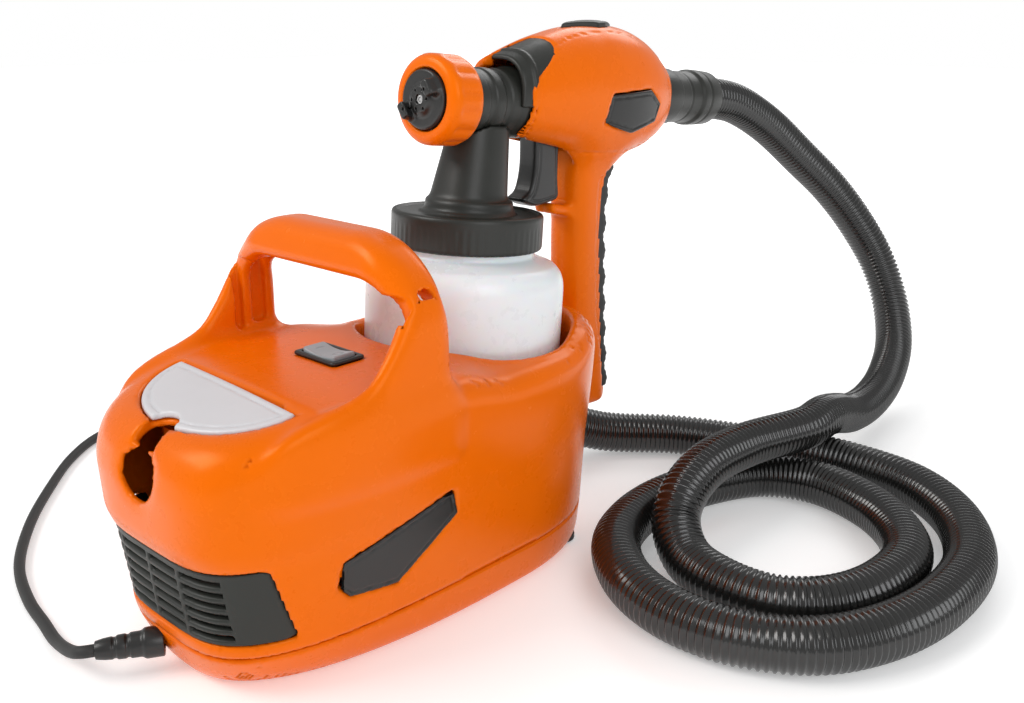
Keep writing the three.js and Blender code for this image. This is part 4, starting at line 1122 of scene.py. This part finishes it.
carved_gun("grip strip", grip_pad, (-15, 86, 8), (15, 134, 160), 0.9, "gun", "rubber", ("grip_pad",), rubber)
carved_gun("top cap", top_cap, (-13, 66, 222), (13, 118, 243), 0.75, "gun", "dark_grey_plastic",
           ("top_cap",), dark_grey)
carved_gun("saddle", saddle, (-8, 16, 186), (30, 56, 236), 0.9, "gun", "dark_grey_plastic", (), dark_grey)
carved_gun("side plate", gun_plate, (24, 79, 172), (32, 139, 203), 0.8, "gun", "black_plastic",
           ("gun_plate",), black)


# %% [markdown]
# ## The trigger
#
# The lever hangs on a pin inside the shell. Its side view is one smooth outline, limited in width to
# make it a solid, and forked at the top, where its two cheeks hold the pin.

# %% Trigger
TRIGGER = rounded([
    (47, 216), (52.5, 213), (58, 200), (67.2, 180), (66.6, 165), (67.4, 148), (68.6, 136.5), (60, 133.4),
    (47, 132), (37.5, 136), (43.5, 141), (46.3, 152), (46.2, 165), (44.8, 178), (43.6, 200), (43.6, 213)], 4)


def trigger(x, y, z):
    shape = smooth_max(outline_field(TRIGGER, y, z), np.abs(x) - 7.5, 3.4)
    shape = cut_away(shape, np.maximum(np.abs(x) - 5.4, 180 - z), 1)
    groove = np.maximum(np.abs(outline_field(TRIGGER, y, z) + 3.2) - 0.5, 7.0 - np.abs(x))
    shape = cut_away(shape, groove, 0.5)
    return cut_away(shape, np.sqrt((y - 48) ** 2 + (z - 212) ** 2) - 2.2 + 0 * x, 0.4)


carved_gun("trigger lever", trigger, (-9, 33, 129), (9, 72, 219), 0.9, "trigger", "black_plastic",
           ("trigger",), black)


# %% [markdown]
# ## The cup's cover
#
# The cover screws onto the cup and carries the gun on a leaning oval neck. A turned profile would suit
# the ribbed disc but not the neck, so both are fields that flow into each other.

# %% Cup cover with its neck
def cup_cover(x, y, z):
    around = np.sqrt(x * x + y * y)
    angle = np.arctan2(y, x)
    rib = 0.12 * (1 - np.cos(60 * angle)) * (1 - smooth_step(z, 124, 127))
    disc = smooth_max(around - 41.8 + rib, np.abs(z - 122) - 9.9, 2.6)
    dished = smooth_max(around - 38.6, 130.6 - z, 1.5)
    disc = cut_away(disc, np.maximum(dished, 26 - around), 1.0)
    collar = smooth_max(np.sqrt(x * x + (y - 1) ** 2) - 24, np.abs(z - 133) - 4.5, 2)
    rise = np.clip((z - 130) / 46, 0, 1.1)
    stem = oval(x, y + 1.5 - 7.5 * rise, 21 - 6.2 * rise, 22 - 5.2 * rise, 2.3)
    stem = np.maximum(stem, np.maximum(130 - z, z - 178))
    shape = smooth_min(disc, collar, 2.0)
    shape = smooth_min(shape, stem, 4)
    shape = cut_away(shape, np.sqrt(x * x + (z - BORE) ** 2) - 18.3 + 0 * y, 0.8)
    well = np.maximum(around - 39.2, z - 120.8)
    shape = cut_away(shape, well, 1.0)
    return cut_away(shape, np.sqrt(x * x + (y - 3) ** 2) - 7 + 0 * z, 0.5)


carved_gun("cup cover", cup_cover, (-45, -45, 110), (45, 45, 178), 1.25, "gun", "dark_grey_plastic",
           ("cup_lid",), dark_grey)


# %% [markdown]
# ## The nozzle
#
# The barrel is round all along, so its profile is turned about the nozzle's axis. The ring has shallow
# lobes for the fingers, and the air cap has two horns and small holes, so these two are fields.

# %% Barrel, nozzle ring and air cap
def upright(points):
    """Pieces turned about Z become pieces about the nozzle's axis."""
    return placed_gun(along_bore(points))


def turned_piece(name, profile, body, slot, nodes, look, segments=72, place=None, angle=32):
    points, faces = turned(softened(profile, 0.7, True), segments, True)
    piece = new_object(name, (place or upright)(points), faces, body, slot, nodes, look, True, angle)
    print(f"{name}: {len(faces)} faces")
    return piece


turned_piece("barrel body", [
    (8.6, -30.9), (12, -30.9), (12, -14.5), (17.2, -12.6), (17.8, -11), (17.8, -4), (17.0, -3),
    (17.0, 1), (17.8, 2), (17.8, 8), (17.0, 9), (17.0, 13), (17.9, 14), (18, 20), (19.5, 23.5),
    (19.5, 42), (16, 42), (8.6, 30)],
    "gun", "dark_grey_plastic", ("barrel",), dark_grey)


def nozzle_ring(x, y, z):
    across = z - BORE
    around = np.sqrt(x * x + across ** 2)
    angle = np.arctan2(across, x)
    ribs = 0.5 + 0.5 * np.cos(14 * angle)
    middle = smooth_step(y, -32, -28) * (1 - smooth_step(y, -18, -14.5))
    radius = 23.6 - 0.9 * (1 - ribs ** 0.6) * middle
    shape = smooth_max(around - radius, np.abs(y + 24) - 11.4, 6.5)
    shape = cut_away(shape, np.maximum(around - 16, y + 29.5), 1.4)
    return cut_away(shape, np.maximum(around - 12.4, -100 - y), 0.6)


carved_gun("nozzle ring", nozzle_ring, (-26, -38, 164), (26, -10, 216), 0.9, "nozzle_ring", "orange_plastic",
           ("nozzle_ring",), orange)


def air_cap(x, y, z):
    turn = math.radians(35)
    across = x * math.cos(turn) + (z - BORE) * math.sin(turn)
    up = -x * math.sin(turn) + (z - BORE) * math.cos(turn)
    around = np.sqrt(across ** 2 + up ** 2)
    disc = smooth_max(around - 15.3, np.abs(y + 33.9) - 3.0, 1.6)
    dome = smooth_max(around - 7.5 - 0.9 * (y + 38), np.abs(y + 36.5) - 2.6, 1.0)
    shape = smooth_min(disc, dome, 1.5)
    horn = box_field(up, np.abs(across) - 11.6 - 0.22 * (y + 37), 4.4, 2.7, 1.8)
    horn = smooth_max(horn, np.abs(y + 38.5) - 4.6, 1.4)
    shape = smooth_min(shape, horn, 2.0)
    spot = np.minimum(np.sqrt(up ** 2 + (np.abs(across) - 9.2) ** 2) - 0.8, around - 2.6)
    for k in range(6):
        a = math.pi / 6 + k * math.pi / 3
        hole = np.sqrt((across - 5.4 * math.cos(a)) ** 2 + (up - 5.4 * math.sin(a)) ** 2) - 0.7
        spot = np.minimum(spot, hole)
    return cut_away(shape, np.maximum(spot, y + 31.5), 0.3)


carved_gun("air cap", air_cap, (-17, -45, 173), (17, -29, 207), 0.55, "air_cap", "black_plastic",
           ("air_cap",), black)

# %% [markdown]
# ## Sleeve, relief and cup
#
# Three more round pieces: the stepped sleeve that joins the hose to the gun, the rubber relief that
# keeps the lead from kinking, and the cup. A turned profile gives each its wall and its edges.

# %% Hose sleeve, lead relief and cup
def at_relief(points):
    x, y, z = np.asarray(points, float).T
    turn = math.radians(-31)
    return placed(np.stack([-8 + x * math.cos(turn) + z * math.sin(turn),
                            -186 + x * math.sin(turn) - z * math.cos(turn), 15 + y], 1))


def at_sleeve(points):
    x, y, z = np.asarray(points, float).T
    return placed_gun(np.stack([x, z, SLEEVE_HEIGHT - y], 1))


turned_piece("sleeve", [
    (13.2, 150), (17.8, 150), (17.8, 175.5), (16.6, 177), (16.6, 186), (16.2, 187), (16.2, 188.4),
    (16.6, 189.4), (16.6, 199), (18.2, 201.5), (18.2, 207), (17.6, 208), (17.6, 209.4), (18.1, 210.4),
    (17.6, 222), (13.4, 222)],
    "gun", "dark_grey_plastic", ("hose_sleeve",), dark_grey, 80, at_sleeve)

turned_piece("lead relief", [
    (3.2, 2), (7.4, 2), (7.4, 10.5), (6.2, 12), (6.1, 17), (5.4, 17.6), (5.4, 18.8), (5.9, 19.4),
    (5.7, 23), (5.0, 23.6), (5.0, 24.8), (5.4, 25.4), (5.1, 29), (4.3, 33), (3.2, 33)],
    "base", "rubber", ("cord_relief",), black, 40, at_relief)

CUP = [
    (0, 0.7), (50.5, 0.7), (54.2, 2.4), (55.4, 6), (55.4, 12), (55.1, 13), (55.1, 90), (54.8, 95),
    (53.2, 100), (49.5, 104.2), (43, 106.6), (38.4, 108.4), (37.8, 110), (37.8, 121), (36, 121),
    (36, 109), (41, 105), (48, 102.4), (51.4, 99), (52.9, 94.5), (53.1, 90), (53.1, 7), (50, 3.2),
    (0, 2.8)]
cup_points, cup_faces = turned(softened(CUP, 1.6), 120)
new_object("cup", placed_gun(cup_points), cup_faces, "cup", "cup_plastic", ("paint_cup",), cup_white)
print("cup:", len(cup_faces), "faces")
